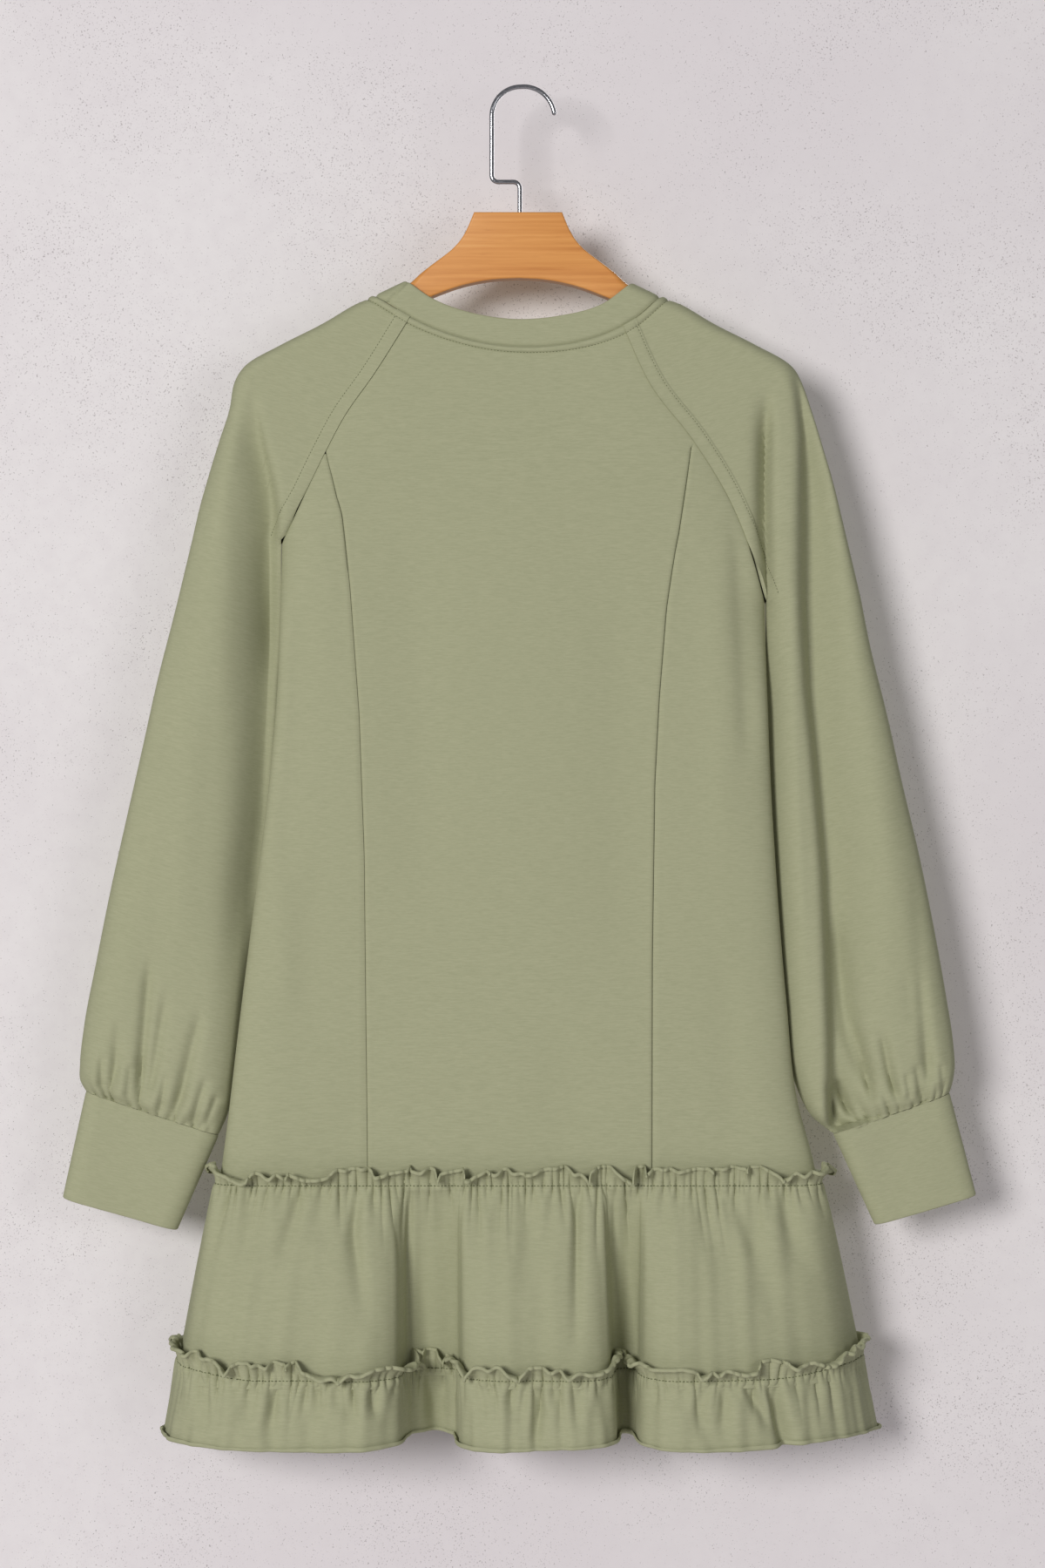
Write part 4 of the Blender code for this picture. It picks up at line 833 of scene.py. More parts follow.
def seam_column(side, v):
    table = PRINCESS[side]
    share = np.full(v.shape, 0.5)
    left = joined(raglan[LEFT, NEAR], body_side[LEFT], v)
    right = joined(raglan[RIGHT, NEAR], body_side[RIGHT], v)
    width = right[..., 0] - left[..., 0]
    for _ in range(8):
        z = left[..., 1] + (right[..., 1] - left[..., 1]) * share
        x = np.interp(-z, [-row[0] for row in table], [row[1] for row in table])
        share = (x - left[..., 0]) / width
    least = PRINCESS_LEAST / width
    share = np.clip(share, least, 1 - least)
    end = 0.0 if side == LEFT else 1.0
    return column_at(np.where(v < PRINCESS_START[side], end, share))


def body_panel(name, face, rows, left, right, count, edges):
    """A panel between two column lines. edges says from which row each side has a plain sewn seam."""
    v = np.array(rows, float)
    first, last = left(v), right(v)
    spread = across(np.linspace(0, 1, count + 1)) * 0.35 + np.linspace(0, 1, count + 1) * 0.65
    c = first[:, None] + (last - first)[:, None] * spread
    grid = body_point(face, c, v[:, None])
    normals = facing(grid_normals(grid), face, len(v) // 2, count // 2)
    for number, end in ((0, 0.0), (-1, 1.0)):
        normals[:, number] = flattened(normals[:, number], face, v, c[:, number] == end)
    run = run_along(grid)
    grid[:, 0] += unit(grid[:, 1] - grid[:, 0]) * SEAM_GAP / 2
    grid[:, -1] += unit(grid[:, -2] - grid[:, -1]) * SEAM_GAP / 2
    lift = band_lift(v[:, None]) + 0 * run
    lift = lift + seam_dip(run) * (v > edges[0])[:, None]
    lift = lift + seam_dip(run[:, -1:] - run) * (v > edges[1])[:, None]
    return *shell(name, grid, normals, WALL, lift), normals


def sleeve_columns(side, v, face, count):
    inner = joined(raglan[side, face], arm_inside[side], v)
    width = np.maximum(np.linalg.norm(outer_edge(side, v) - inner, axis=-1), SLEEVE_LEAST)
    strip = column_at(np.array(STRIP)[None, :] / width[:, None])
    rest = np.linspace(0, 1, count)[1:] * (1 - strip[:, -1:]) + strip[:, -1:]
    return np.concatenate([strip, rest], 1)


def make_sleeve(side, name):
    v = np.concatenate([UPPER_ROWS, ARM_ROWS])
    near = sleeve_columns(side, v, NEAR, 78)
    far = sleeve_columns(side, v, FAR, 34)
    r = np.concatenate([near, 2 - far[:, -2::-1]], 1)

    def point(face, c, d):
        return sleeve_point(side, face, c, d)

    grid = ring(point, r, v[:, None])
    closed = int(np.argmax(v >= 1))
    normals = facing(grid_normals(grid, closed), NEAR, len(v) // 2, 30)
    normals[:, 0] = flattened(normals[:, 0], NEAR, v, v < 1)
    normals[:, -1] = flattened(normals[:, -1], FAR, v, v < 1)
    grid[:closed, 0] += unit(grid[:closed, 1] - grid[:closed, 0]) * SEAM_GAP / 2
    grid[:closed, -1] += unit(grid[:closed, -2] - grid[:closed, -1]) * SEAM_GAP / 2
    grid[-1] += unit(grid[-2] - grid[-1]) * CUFF_SEAM_GAP
    run = run_along(grid)
    from_end = np.minimum(run, run[:, -1:] - run)
    on_strip = smooth((1.01 - v) / 0.05)[:, None]
    raised = 1.25 * smooth((STRIP_EDGE - from_end) / 1.2)
    lift = on_strip * (raised - 0.5 * bump(from_end - STRIP_STITCH_LINE, 0.8))
    lift = lift + band_lift(v[:, None]) * (1 - 0.4 * (from_end < 11))
    last = (2 - v[:, None]) * arm[side].length
    lift = lift - 0.4 * bump(last, 1.2)
    return *shell(name, grid, normals, WALL, lift, closed), normals


def make_tube(name, function, rows, columns, thick, lift, gap):
    r, v = np.broadcast_arrays(columns[None, :], np.array(rows, float)[:, None])
    grid = ring(function, r, v)
    normals = facing(grid_normals(grid, 0), NEAR, 0, int(np.argmin(np.abs(columns - 0.5))))
    grid[0] += unit(grid[1] - grid[0]) * gap
    return *shell(name, grid, normals, thick, lift, 0), normals


def folded_edge(h, length, thick):
    """The thickness of a folded band, rounded off at its folded edge."""
    left = (1 - h) * length
    return thick * np.maximum(rounded(left, thick * 0.8), 0.25)


def make_neckband():
    rows = np.concatenate([(0, 0.02, 0.045, 0.075, 0.14), np.linspace(0.25, 0.9, 8), (0.94, 0.97, 0.985, 1)])
    columns = [np.linspace(0, 0.12, 50), np.linspace(0.127, 1, 130), np.linspace(1, 2, 150)[1:]]
    columns = np.concatenate(columns)
    thick = folded_edge(rows[:, None], BAND_HEIGHT, BAND_WALL)
    share = across(np.clip(columns[None, :], 0, 1))
    from_seam = np.abs(share - CROSS_SEAM + CROSS_SEAM_LEAN * rows[:, None])
    lift = -1.5 * bump(rows[:, None] * BAND_HEIGHT, 1.5) - 1.7 * bump(from_seam * BAND_LENGTH, 1.4)
    return make_tube("neckband_cloth", neckband_point, rows, columns, thick, lift, SEAM_GAP / 2)


def make_cuff(side, name):
    def point(face, c, h):
        return cuff_point(side, face, c, h)

    rows = np.concatenate([(0, 0.012, 0.03, 0.05), np.linspace(0.08, 0.95, 26), (0.965, 0.98, 0.99, 1)])
    columns = np.concatenate([np.linspace(0, 1, 64), np.linspace(1, 2, 44)[1:]])
    thick = folded_edge(rows[:, None], CUFF_HEIGHT, CUFF_WALL)
    lift = -0.3 * bump(rows[:, None] * CUFF_HEIGHT, 1.2)
    return make_tube(name, point, rows, columns, thick, lift, 0.0)


def side_lift(x, above):
    """The second gather line climbs a little towards the side seams."""
    return SIDE_LIFT * smooth((np.abs(x) - 190) / 80) * smooth((above + 30) / 30)


def rim_of(face, x, tier, phase):
    """The height of a heading's raw rim over its gather line, in millimetres."""
    if face == NEAR:
        table = np.array(tier.rim, float)
        return np.interp(x, (table[:, 0] - ORIGIN_PIXEL[0]) * PIXEL, table[:, 1] * PIXEL)
    turn = x / 21 + 1.7 * np.sin(x / 47 + phase) + phase
    return 8.0 + 5.6 * np.sin(turn) + 2.4 * np.sin(2.7 * turn + 1)


def curl_shift(face, x, tier, rise):
    """How far a heading's rim is drawn sideways into its tight curls."""
    if face == NEAR:
        curls = [((px - ORIGIN_PIXEL[0]) * PIXEL, pull) for px, pull in tier.curls]
    else:
        curls = [(place, 0.9) for place in np.arange(-230, 240, 33.0) + 9 * np.sin(np.arange(15) * 2.4)]
    moved = np.zeros(x.shape)
    for place, pull in curls:
        away = x - place
        moved = moved - pull * away * bump(away, CURL_HALF_WIDTH)
    return moved * rise


def near_view(points):
    """Where points of the near cloth appear in the photo's plane: they stand nearer than that plane."""
    nearer = CAMERA_AWAY / (CAMERA_AWAY - NEAR_CLOTH_Y)
    centre = np.array([CAMERA_CENTRE[0], CAMERA_CENTRE[2]]) / METRES
    return centre + (points - centre) * nearer


def held(cut, limit):
    return limit * (1 - np.exp(-cut / limit))


def make_tier(name, tier, face, count, phase):
    """A gathered tier with its frilled heading above the gather line, and a rolled hem on the lower."""
    share = np.linspace(0, 1, count + 1)[None, :]
    drop = np.concatenate([TIER_TOP_ROWS, np.linspace(16.5, tier.length, tier.rows)])
    rise = np.linspace(0, 1, 13)
    rolled = np.linspace(0.16, 1, 7)

    def down_at(above):
        z = tier.gather_z + above
        return np.clip((GATHER_Z - z) / (GATHER_Z - HEM_Z), 0, 1) + 0 * share

    def outward_at(above):
        step = 0.0015
        ahead, _ = skirt_plan(face, np.minimum(share + step, 1), down_at(above))
        behind, _ = skirt_plan(face, np.maximum(share - step, 0), down_at(above))
        run = unit(ahead - behind)
        way = np.stack([run[..., 1], -run[..., 0]], -1)
        ends = along_x(np.where(share < 0.5, face, -face))
        return unit(between(way, ends, smooth(1 - np.minimum(share, 1 - share) / 0.008)))

    def set_out(above, push):
        flat, _ = skirt_plan(face, share, down_at(above))
        flat = flat + outward_at(above) * push[..., None]
        return np.stack([flat[..., 0], flat[..., 1], tier.gather_z + above + 0 * push], -1)

    base, room = skirt_plan(face, share, down_at(0.0))
    x = base[..., 0]
    along = run_along(base)
    valleys = gather_list(int(40 * phase) + tier.seed, along[0, -1], *GATHER_STEPS, tier.longest)
    ends = smooth(np.minimum(along, along[:, -1:] - along) / 6)
    turn = along / tier.wave + 0.5 * np.sin(along / 60 + phase)
    soft = (np.sin(2 * np.pi * turn) + 0.5 * np.sin(2 * np.pi * 1.83 * turn + 2)) * ends * room
    folds = tier.folds
    if face == FAR:
        mirror = 2 * ORIGIN_PIXEL[0]
        folds = [([(mirror - px, py) for px, py in path], depth, half) for path, depth, half in folds]

    def gathers(above):
        """How far the cloth stands out from the plan at a height from the gather line."""
        below, away = -above, np.abs(above)
        flat, _ = skirt_plan(face, share, down_at(above))
        place = np.stack([flat[..., 0], np.full(share.shape, tier.gather_z + above)], -1)
        place = near_view(place) if face == NEAR else place
        cut = sum(furrow(place, path, depth, 0.8 * half, 0.8 * half, 1.0) for path, depth, half in folds)
        cut = tier.strength * cut * room * smooth(below / 5.0)
        deep = 0.0
        if face == NEAR:
            if tier.hem:
                place = near_view(np.stack([x, np.full(share.shape, tier.gather_z)], -1))
            deep = sum(furrow(place, path, depth, half, half, 0.6) for path, depth, half in RECESSES)
        limit = FOLD_LIMIT[0] + FOLD_LIMIT[1] * np.maximum(below - FOLD_LIMIT[2], 0)
        cut = held(cut, limit) + deep if tier.hem else held(cut + deep, limit)
        small = (GATHER_SWELL * np.exp(-away / GATHER_SWELL_FADE)
                 - gathers_at(valleys, along, away, GATHER_DEPTH, GATHER_HALF)) * ends
        wide = soft * (tier.wave_height * smooth(below / tier.wave_fade))
        pinch = 1.1 * np.exp(-away / 1.5)
        return tier.stand + small * (1 - 0.45 * np.exp(-away / 1.2)) + wide - cut - pinch

    start = set_out(0.0, gathers(0.0))
    way_out = level(outward_at(0.0))
    up = np.array([0.0, 0.0, 1.0])
    seen_x = x
    if face == NEAR:
        nearer = CAMERA_AWAY / (CAMERA_AWAY + base[..., 1] * METRES)
        seen_x = CAMERA_CENTRE[0] / METRES + (x - CAMERA_CENTRE[0] / METRES) * nearer
    height = rim_of(face, seen_x, tier, phase)
    ruffle = 0.35 * np.sin(along / 3.1 + 2.2 * np.sin(along / 9 + phase)) * ends
    lean = np.arccos(np.clip(height / HEADING, -0.25, 0.97)) + ruffle * 0.55
    lean = np.clip(lean * (0.2 + 0.8 * ends), 0.05, 1.9)
    heading = []
    position = start
    run_way = unit(np.gradient(start, axis=1))
    for h in rise[1:]:
        slope = lean * (0.25 + 0.95 * h)
        move = up * np.cos(slope)[..., None] + way_out * np.sin(slope)[..., None]
        position = position + move * (HEADING / (len(rise) - 1))
        sideways = curl_shift(face, seen_x, tier, h**1.4) * ends
        swing = 1.2 * np.sin(along / 2.6 + phase) * h * h * ends
        pleat = 2.6 * gathers_at(valleys, along, h * HEADING, 1.0, GATHER_HALF)
        swing = swing - pleat * (1 - 0.5 * h) * ends
        shifted = position + run_way * (sideways * (1 if face == NEAR else -1))[..., None]
        heading.append(shifted + way_out * (swing * 0.5)[..., None])
    rim = heading[-1]
    turn_out = -up * np.sin(slope)[..., None] + way_out * np.cos(slope)[..., None]
    for angle in rolled * math.radians(215):
        rolled_in = move * RIM_ROLL * math.sin(angle)
        heading.append(rim + rolled_in + turn_out * RIM_ROLL * (1 - math.cos(angle)))
    rows = heading[::-1] + [start] + [set_out(-d, gathers(-d)) for d in drop]
    if tier.hem:
        last = rows[-1]
        hem_way = level(outward_at(-tier.length))
        radius = HEM_ROLL * (1 + 0.35 * np.sin(along / 23 + phase))[..., None]
        for angle in rolled * math.radians(235):
            rows.append(last - up * radius * math.sin(angle) + hem_way * radius * (1 - math.cos(angle)))
    grid = np.concatenate(rows, 0)
    if tier.hem:
        above = grid[..., 2] - tier.gather_z
        grid[..., 2] += side_lift(grid[..., 0], above)
        if face == NEAR:
            grid[..., 2] += 1.6 * np.sin(along / 34 + 1) * smooth((-above - 20) / 25) * ends
    grid[:, 0, 1] += face * SEAM_GAP / 2
    grid[:, -1, 1] += face * SEAM_GAP / 2
    normals = facing(grid_normals(grid), face, len(rows) - 12, count // 2)
    piece, outer = shell(name, grid, normals, TIER_WALL)
    line = len(heading)
    return piece, outer[line], normals[line]


def read_at(table, run, places):
    return np.stack([np.interp(places, run, table[:, k]) for k in range(3)], -1)


def tube_faces(first, rings, sides):
    """The faces of a closed tube whose rings of points follow one another."""
    last = first + (rings - 1) * sides
    faces = [tuple(reversed(range(first, first + sides))), tuple(range(last, last + sides))]
    for a in range(first, last, sides):
        for i in range(sides):
            j = (i + 1) % sides
            faces.append((a + i, a + j, a + sides + j, a + sides + i))
    return faces


def stitched(name, lines, pitch, length, radius):
    """Rows of raised stitches along lines on the cloth. Each line: its points and the directions out."""
    turns = np.linspace(0, 2 * np.pi, 7)[:-1]
    points, faces = [], []
    for path, out in lines:
        run = run_along(path)
        places = np.arange(pitch / 2, run[-1] - pitch / 2, pitch)
        spots = read_at(path, run, places)
        forward = unit(read_at(path, run, places + 0.5) - spots)
        outward = unit(read_at(out, run, places))
        cross = unit(np.cross(forward, outward))
        for p, f, o, c in zip(spots, forward, outward, cross):
            faces += tube_faces(len(points), 4, len(turns))
            for along, size, sink in ((-0.5, 0.35, -0.5), (-0.22, 1, 0), (0.22, 1, 0), (0.5, 0.35, -0.5)):
                middle = p + f * along * length + o * radius * (sink + 0.15)
                for t in turns:
                    points.append(middle + (c * math.cos(t) + o * 0.8 * math.sin(t)) * radius * size)
    return face_out(add_mesh(name, np.array(points), faces))


def wood_outline():
    top = Line(WOOD_TOP).at(np.linspace(0, 1, 90))
    under = Line(list(WOOD_UNDER) + [(0, WOOD_ARCH_Z, 1.6)]).at(np.linspace(0, 1, 90))
    mirror = np.array([-1.0, 1, 1])
    left_top, left_under = top[::-1] * mirror, under[-2::-1] * mirror
    return np.concatenate([top, under, left_under, left_top])


def make_wood():
    outline = wood_outline()
    flat, round_edge = outline[:, :2], np.maximum(outline[:, 2], 1.0)
    ahead = unit(np.roll(flat, -1, 0) - flat)
    behind = unit(flat - np.roll(flat, 1, 0))
    inward = np.stack([ahead[:, 1] + behind[:, 1], -ahead[:, 0] - behind[:, 0]], 1)
    inward = inward / np.maximum(1 + (ahead * behind).sum(1), 0.4)[:, None]
    turns = np.radians(np.linspace(0, 90, 8))
    rings = []
    for sign in (NEAR, FAR):
        for turn in (turns if sign == FAR else turns[::-1]):
            inset = round_edge * (1 - math.cos(turn))
            y = sign * (WOOD_HALF_THICK - round_edge * (1 - math.sin(turn)))
            shape = flat + inward * inset[:, None]
            rings.append(np.stack([shape[:, 0] + MIDDLE_X, y, shape[:, 1]], 1))
    faces = tube_faces(0, len(rings), len(outline))
    return face_out(add_mesh("hanger_wood_varnished", np.concatenate(rings), faces))


def bend(centre, start_degrees, end_degrees, radius, steps):
    turns = np.radians(np.linspace(start_degrees, end_degrees, steps + 1))
    return [(centre[0] + radius * math.cos(t), centre[1] + radius * math.sin(t)) for t in turns]


def make_hook():
    radius = CROWN_RADIUS
    crown = (0.0, HOOK_WIRE - radius)
    path = [(STEM_X, WOOD_TOP_Z - STEM_IN_WOOD), (STEM_X, WOOD_TOP_Z - 2), (STEM_X, HOOK_JOG_Z - 6)]
    path += bend((STEM_X - HOOK_BEND, HOOK_JOG_Z - HOOK_BEND), 0, 90, HOOK_BEND, 10)
    path += bend((HOOK_BEND - radius, HOOK_JOG_Z + HOOK_BEND), 270, 180, HOOK_BEND, 10)
    path += [(-radius, -48), (-radius, -33)]
    for i in range(61):
        turn = math.pi - (math.pi / 2 + CROWN_END) * i / 60
        out = radius + CROWN_OPENS * max(0.0, (math.pi / 2 - turn) / CROWN_END)
        path.append((crown[0] + out * math.cos(turn), crown[1] + out * math.sin(turn)))
    path = np.array(path)
    run = unit(np.gradient(path, axis=0))
    sideways = np.stack([run[:, 1], -run[:, 0]], 1)
    thin = np.ones(len(path))
    end = path[-1] + run[-1] * np.array([[0.7], [1.2], [1.45]])
    path = np.concatenate([path, end])
    sideways = np.concatenate([sideways, np.repeat(sideways[-1:], 3, 0)])
    thin = np.concatenate([thin, (0.85, 0.55, 0.2)])
    sides = 20
    turns = np.linspace(0, 2 * np.pi, sides + 1)[:-1]
    points = []
    for place, way, size in zip(path, sideways, thin):
        for turn in turns:
            flat = place + way * HOOK_WIRE * size * math.cos(turn)
            points.append((flat[0], HOOK_WIRE * size * math.sin(turn), flat[1]))
    return face_out(add_mesh("hanger_hook_wire", np.array(points), tube_faces(0, len(path), sides)))


class Tone:
    """A number that varies over a surface. An expression on it adds Math nodes."""

    def __init__(self, finish, socket):
        self.finish = finish
        self.socket = socket

    def worked(self, operation, first, second):
        return self.finish.node("ShaderNodeMath", {"operation": operation}, {0: first, 1: second})

    def __add__(self, other):
        return self.worked("ADD", self, other)

    def __radd__(self, other):
        return self.worked("ADD", other, self)

    def __sub__(self, other):
        return self.worked("SUBTRACT", self, other)

    def __rsub__(self, other):
        return self.worked("SUBTRACT", other, self)

    def __mul__(self, other):
        return self.worked("MULTIPLY", self, other)

    def __rmul__(self, other):
        return self.worked("MULTIPLY", other, self)


class Finish:
    """A material being made, with one method that adds every kind of node."""

    def __init__(self, name, shown):
        self.material = bpy.data.materials.new(name)
        self.material.use_nodes = True
        self.material.diffuse_color = (*shown, 1.0)
        self.tree = self.material.node_tree
        self.shader = self.tree.nodes["Principled BSDF"]

    def node(self, kind, settings, sockets, output=0):
        made = self.tree.nodes.new(kind)
        for name, value in settings.items():
            if name == "stops":
                self.set_stops(made.color_ramp, value)
            else:
                setattr(made, name, value)
        for key, value in sockets.items():
            self.join(value, made.inputs[key])
        return Tone(self, made.outputs[output])

    @staticmethod
    def set_stops(ramp, stops):
        while len(ramp.elements) < len(stops):
            ramp.elements.new(0.5)
        for element, (place, rgb) in zip(ramp.elements, stops):
            element.position = place
            element.color = (*rgb, 1.0)

    def join(self, value, socket):
        if isinstance(value, Tone):
            self.tree.links.new(value.socket, socket)
        else:
            socket.default_value = value

    def set(self, **values):
        for name, value in values.items():
            self.join(value, self.shader.inputs[name.replace("_", " ")])

    def place(self, scale, turn=0.0):
        """The place on the object, in metres, turned about Y and stretched for a texture."""
        where = self.node("ShaderNodeTexCoord", {}, {}, "Object")
        turned = self.node("ShaderNodeMapping", {"vector_type": "POINT"},
                           {"Vector": where, "Rotation": (0.0, turn, 0.0)})
        return self.node("ShaderNodeVectorMath", {"operation": "MULTIPLY"}, {0: turned, 1: scale})

    def cloud(self, place, detail=2.0, rough=0.5):
        return self.node("ShaderNodeTexNoise", {"noise_dimensions": "3D"},
                         {"Vector": place, "Scale": 1.0, "Detail": detail, "Roughness": rough}, "Fac")

    def spread(self, tone, low, high):
        """A tone stretched so that low becomes 0 and high becomes 1, and held there."""
        return self.node("ShaderNodeMapRange", {"interpolation_type": "SMOOTHSTEP"},
                         {"Value": tone, "From Min": low, "From Max": high})

    def blend(self, share, first, second):
        return self.node("ShaderNodeMix", {"data_type": "RGBA", "blend_type": "MIX"},
                         {0: share, 6: first, 7: second}, 2)

    def relief(self, strength, distance, height):
        return self.node("ShaderNodeBump", {},
                         {"Strength": strength, "Distance": distance, "Height": height}, "Normal")


def linear(*levels):
    return tuple(((level / 255 + 0.055) / 1.055) ** 2.4 for level in levels)


def rgba(*levels):
    return (*linear(*levels), 1.0)


def jersey(name, turn):
    """Heathered cotton jersey: fine uneven courses across the grain and a dry soft surface."""
    made = Finish(name, linear(*JERSEY_LIGHT))
    courses = made.cloud(made.place((210.0, 210.0, 2900.0), turn), 3.0, 0.6)
    streaks = made.cloud(made.place((90.0, 90.0, 1000.0), turn), 2.0, 0.55)
    slubs = made.cloud(made.place((220.0, 220.0, 1700.0), turn), 2.0, 0.5)
    patches = made.cloud(made.place((9.0, 9.0, 9.0), turn), 2.0, 0.5)
    heather = made.spread(courses * 0.6 + streaks * 0.4, 0.34, 0.66)
    body = made.blend(heather, rgba(*JERSEY_DARK), rgba(*JERSEY_LIGHT))
    body = made.blend(made.spread(slubs, 0.62, 0.78) * 0.4, body, rgba(*JERSEY_PALE))
    body = made.blend(made.spread(patches, 0.3, 0.7) * 0.1, body, rgba(*JERSEY_DARK))
    fibre = made.cloud(made.place((1300.0, 1300.0, 1300.0), turn), 2.0, 0.6)
    relief = made.relief(0.25, 0.0002, courses * 0.6 + fibre * 0.4)
    made.set(Base_Color=body, Roughness=0.86 + 0.08 * heather, Normal=relief, Specular_IOR_Level=0.2,
             Sheen_Weight=0.08, Sheen_Roughness=0.55)
    made.shader.inputs["Sheen Tint"].default_value = rgba(205, 210, 180)
    return made.material


def thread_and_hole_shade_finish():
    # Olive thread, darkened as painted shade of the stitch holes; the twist varies its tone at random.
    made = Finish("sewing_thread_and_hole_shade", linear(*THREAD_AND_HOLE_SHADE))
    twist = made.cloud(made.place((900.0, 900.0, 2600.0)), 2.0, 0.5)
    tone = made.blend(made.spread(twist, 0.35, 0.65), rgba(*THREAD_DARK_AND_HOLE_SHADE), rgba(*THREAD_AND_HOLE_SHADE))
    made.set(Base_Color=tone, Roughness=0.7 - 0.1 * twist, Specular_IOR_Level=0.3)
    return made.material


def wood_finish():
    """Light varnished wood with its grain along the arms."""
    made = Finish("varnished_wood", linear(214, 150, 85))
    sway = made.cloud(made.place((7.0, 7.0, 14.0)), 2.0, 0.5)
    lines = made.cloud(made.place((9.0, 40.0, 330.0)), 4.0, 0.62)
    bands = made.cloud(made.place((3.2, 20.0, 95.0)), 3.0, 0.55)
    pores = made.cloud(made.place((55.0, 300.0, 1500.0)), 2.0, 0.6)
    tone = made.node("ShaderNodeValToRGB", {"stops": (
        (0.26, linear(178, 106, 46)), (0.43, linear(208, 138, 68)), (0.56, linear(221, 153, 81)),
        (0.76, linear(240, 184, 114)))}, {"Fac": lines * 0.5 + bands * 0.35 + sway * 0.15})
    grain = made.blend(made.spread(pores, 0.62, 0.74) * 0.35, tone, rgba(176, 108, 52))
    relief = made.relief(0.12, 0.0002, lines + pores * 0.4)
    made.set(Base_Color=grain, Roughness=0.34 + 0.1 * sway, Normal=relief, Coat_Weight=0.35,
             Coat_Roughness=0.18, Specular_IOR_Level=0.45)
    return made.material


def chrome_finish():
    made = Finish("chrome_wire", linear(205, 205, 208))
    scuffs = made.cloud(made.place((260.0, 260.0, 1400.0)), 3.0, 0.6)
    made.set(Base_Color=made.blend(scuffs, rgba(150, 151, 156), rgba(190, 190, 195)), Metallic=1.0,
             Roughness=0.14 + 0.16 * made.spread(scuffs, 0.45, 0.75))
    return made.material


def plaster_finish(name, with_specks=True):
    """Pale plaster, with or without dark specks."""
    made = Finish(name, linear(212, 210, 211))
    patches = made.cloud(made.place((2.2, 2.2, 2.2)), 3.0, 0.55)
    mottle = made.cloud(made.place((60.0, 60.0, 60.0)), 3.0, 0.6)
    tone = made.blend(made.spread(patches, 0.3, 0.7), rgba(224, 218, 221), rgba(232, 228, 229))
    tone = made.blend(made.spread(mottle, 0.35, 0.7) * 0.3, tone, rgba(220, 214, 217))
    if with_specks:
        specks = made.cloud(made.place((900.0, 900.0, 900.0)), 1.0, 0.5)
        many = made.cloud(made.place((7.0, 7.0, 7.0)), 2.0, 0.5)
        dots = made.spread(specks - 0.07 * (1 - made.spread(many, 0.35, 0.65)), 0.66, 0.69)
        tone = made.blend(dots * 0.6, tone, rgba(130, 122, 122))
    relief = made.relief(0.2, 0.001, mottle)
    made.set(Base_Color=tone, Roughness=0.93 - 0.04 * mottle, Normal=relief, Specular_IOR_Level=0.15)
    return made


def dress(piece, material, node=None):
    """Gives a piece its finish and, where it has one, the place of its solid."""
    piece.data.materials.clear()
    piece.data.materials.append(material)
    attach(piece, "root")
    if node is not None:
        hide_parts(node)
    return piece


def make_panels():
    """The back's three panels and the front, between columns 0 and 1 and the two princess seams."""
    rows = np.concatenate([UPPER_ROWS, LOWER_ROWS])
    starts = PRINCESS_START[LEFT], PRINCESS_START[RIGHT]
    left_rows, right_rows = (np.concatenate([[start], rows[rows > start + 0.004]]) for start in starts)

    def at_left(v):
        return 0 * v

    def at_right(v):
        return 0 * v + 1

    def left_seam(v):
        return seam_column(LEFT, v)

    def right_seam(v):
        return seam_column(RIGHT, v)

    table = (
        ("back_center", NEAR, rows, left_seam, right_seam, 104, starts),
        ("back_side_left", NEAR, left_rows, at_left, left_seam, 40, (NOWHERE, 0)),
        ("back_side_right", NEAR, right_rows, right_seam, at_right, 46, (0, NOWHERE)),
        ("front_panel", FAR, rows, at_left, at_right, 76, (NOWHERE, NOWHERE)),
    )
    return {name: body_panel(f"{name}_cloth", *row) for name, *row in table}


def make_stitches(made):
    """The rows of stitches, under the piece of cloth that each is sewn on."""
    band_row = int(np.argmin(np.abs(UPPER_ROWS * RAGLAN_MM - NECK_STITCH_LINE)))
    underarm = len(UPPER_ROWS) - 1
    necks = [made[node][1:] for node in ("back_center", "front_panel", "sleeve_left", "sleeve_right")]
    lines = [(outer[band_row], normals[band_row]) for outer, normals in necks]
    sewn = {"back_center": stitched("neck_stitches", lines, *SEAM_STITCHES)}
    for word in ("left", "right"):
        _, outer, normals = made[f"sleeve_{word}"]
        columns = STRIP_STITCH_COLUMN, -1 - STRIP_STITCH_COLUMN
        lines = [(outer[band_row:underarm, k], normals[band_row:underarm, k]) for k in columns]
        sewn[f"sleeve_{word}"] = stitched(f"raglan_stitches_{word}", lines, *SEAM_STITCHES)
    for key in ("upper_back", "lower_back", "upper_front", "lower_front"):
        sewn[f"tier_{key}"] = stitched(f"gather_stitches_{key}", [made[f"tier_{key}"][1:]], *GATHER_STITCHES)
    thread_with_hole_shade = thread_and_hole_shade_finish()
    for piece in sewn.values():
        dress(piece, thread_with_hole_shade)
    return sewn


def make_cloth():
    made = make_panels()
    made["neckband"] = make_neckband()
    for maker, part in ((make_sleeve, "sleeve"), (make_cuff, "cuff")):
        for side, word in ((LEFT, "left"), (RIGHT, "right")):
            made[f"{part}_{word}"] = maker(side, f"{part}_{word}_cloth")
    for word, face, count, phase in (("back", NEAR, 800, 0.1), ("front", FAR, 400, 0.9)):
        for part, tier, shift in (("tier_upper", UPPER_TIER, 0), ("tier_lower", LOWER_TIER, 0.5)):
            node = f"{part}_{word}"
            made[node] = make_tier(f"{node}_cloth", tier, face, count, phase + shift)
    sewn = make_stitches(made)
    for node, (width, length, area) in CUT.items():
        turn = math.radians(GRAIN_TURN.get(node, 0))
        piece = dress(made[node][0], jersey(f"jersey_{node}", turn), node)
        [sewn[node]] if node in sewn else []


def make_hanger():
    wood = dress(make_wood(), wood_finish(), "hanger_wood")
    hook = dress(make_hook(), chrome_finish(), "hanger_hook")


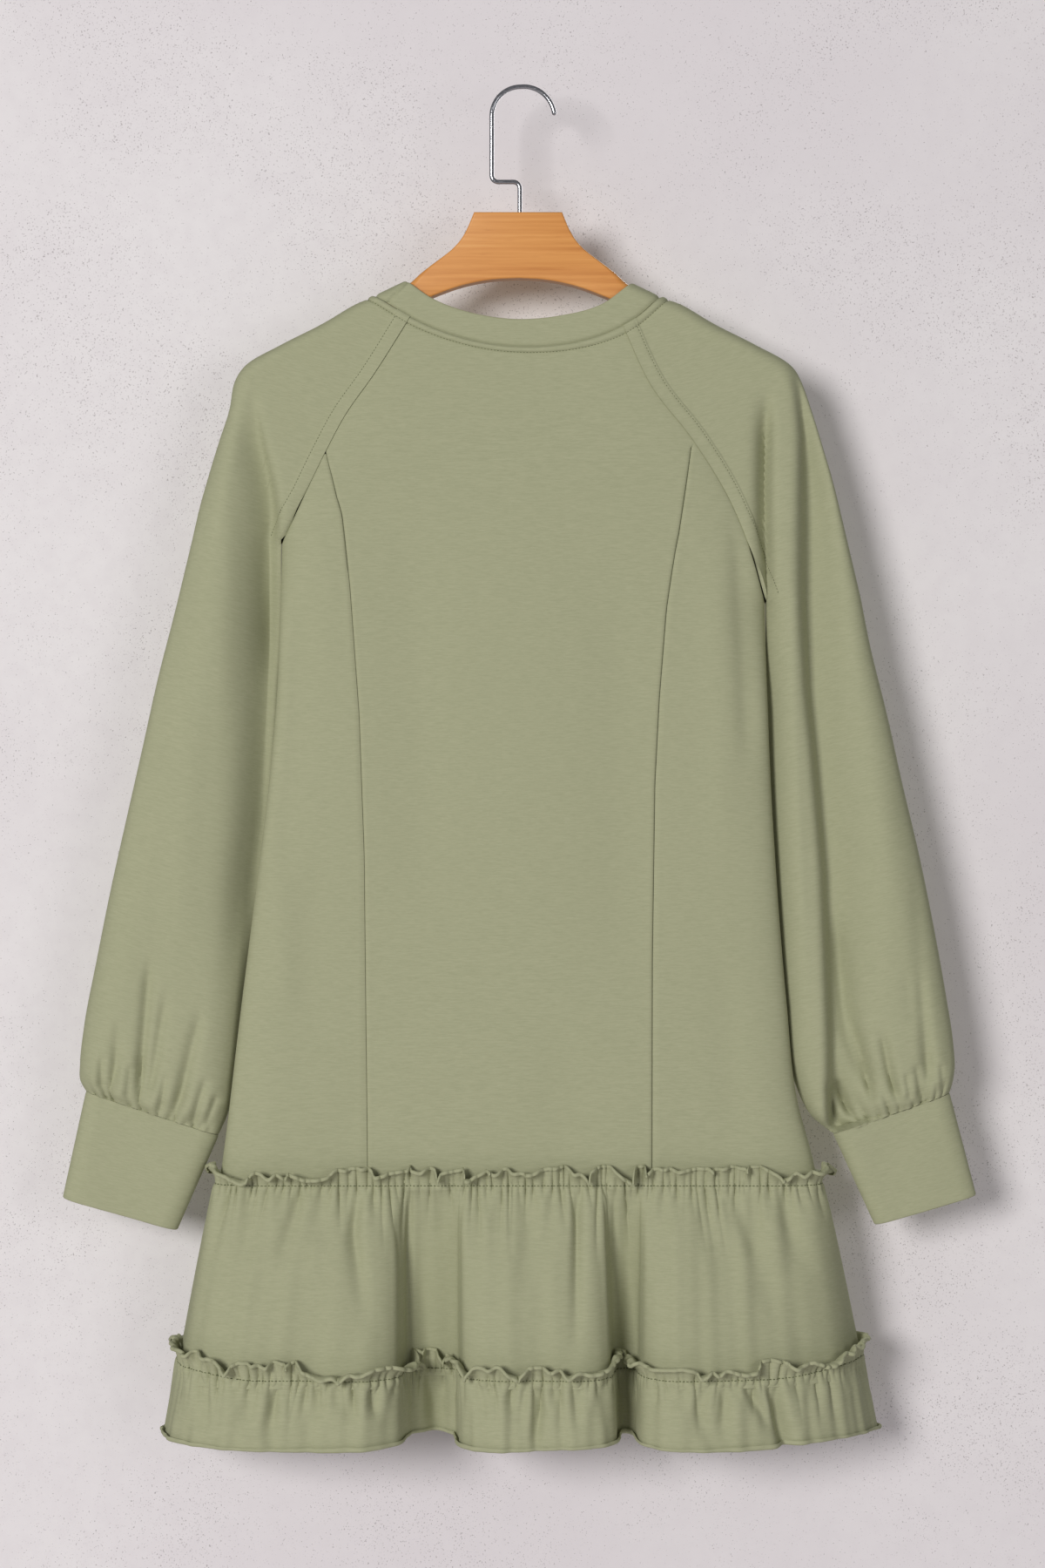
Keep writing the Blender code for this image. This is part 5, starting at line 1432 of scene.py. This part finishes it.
def area_light(name, place, target, size, power, colour):
    data = bpy.data.lights.new(name, "AREA")
    data.shape = "DISK"
    data.size = size
    data.energy = power
    data.color = colour
    light = bpy.data.objects.new(name, data)
    light.location = place
    light.rotation_euler = (Vector(target) - Vector(place)).to_track_quat("-Z", "Y").to_euler()
    bpy.context.scene.collection.objects.link(light)


def stage_panel(name, corners, material):
    mesh = bpy.data.meshes.new(name)
    mesh.from_pydata(corners, [], [(0, 1, 2, 3)])
    mesh.materials.append(material)
    piece = bpy.data.objects.new(name, mesh)
    bpy.context.scene.collection.objects.link(piece)
    return piece


def make_stage():
    """A plain pale floor, a plaster wall close behind that only shows from its front, and soft light."""
    scene = bpy.context.scene
    scene.world = bpy.data.worlds.new("studio")
    scene.world.use_nodes = True
    background = scene.world.node_tree.nodes["Background"].inputs
    background["Color"].default_value = rgba(*SURROUNDING_LIGHT)
    background["Strength"].default_value = SURROUNDING_POWER
    turns = ((-1, -1), (1, -1), (1, 1), (-1, 1))
    corners = [(FLOOR_HALF * x, FLOOR_HALF * y, FLOOR_Z) for x, y in turns]
    stage_panel("floor", corners, plaster_finish("pale_floor", False).material)
    finish = plaster_finish("plaster_wall")
    from_behind = finish.node("ShaderNodeNewGeometry", {}, {}, "Backfacing")
    finish.set(Alpha=1 - from_behind)
    corners = [(WALL_HALF * x, WALL_Y, WALL_HEIGHTS[max(z, 0)]) for x, z in turns]
    wall = stage_panel("wall", corners, finish.material)
    wall.visible_shadow = False
    wall.visible_diffuse = False
    wall.visible_glossy = False
    wall.visible_transmission = False
    for light in LIGHTS:
        area_light(*light)
    scene.view_settings.view_transform = "Standard"


def make_camera():
    data = bpy.data.cameras.new("camera")
    data.sensor_fit = "AUTO"
    data.sensor_width = 36.0
    data.lens = 18.0 * CAMERA_AWAY / PICTURE_HALF_HEIGHT
    camera = bpy.data.objects.new("camera", data)
    camera.location = (CAMERA_CENTRE[0], -CAMERA_AWAY, CAMERA_CENTRE[2])
    camera.rotation_euler = (math.pi / 2, 0, 0)
    bpy.context.scene.collection.objects.link(camera)
    bpy.context.scene.camera = camera


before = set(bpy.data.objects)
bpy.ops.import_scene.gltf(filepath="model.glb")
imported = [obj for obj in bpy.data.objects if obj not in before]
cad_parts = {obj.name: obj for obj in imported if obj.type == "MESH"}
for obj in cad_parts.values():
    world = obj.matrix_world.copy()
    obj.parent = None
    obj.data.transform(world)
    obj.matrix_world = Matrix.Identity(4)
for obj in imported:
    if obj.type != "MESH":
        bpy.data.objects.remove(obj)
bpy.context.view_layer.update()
make_camera()
make_cloth()
make_hanger()
make_stage()
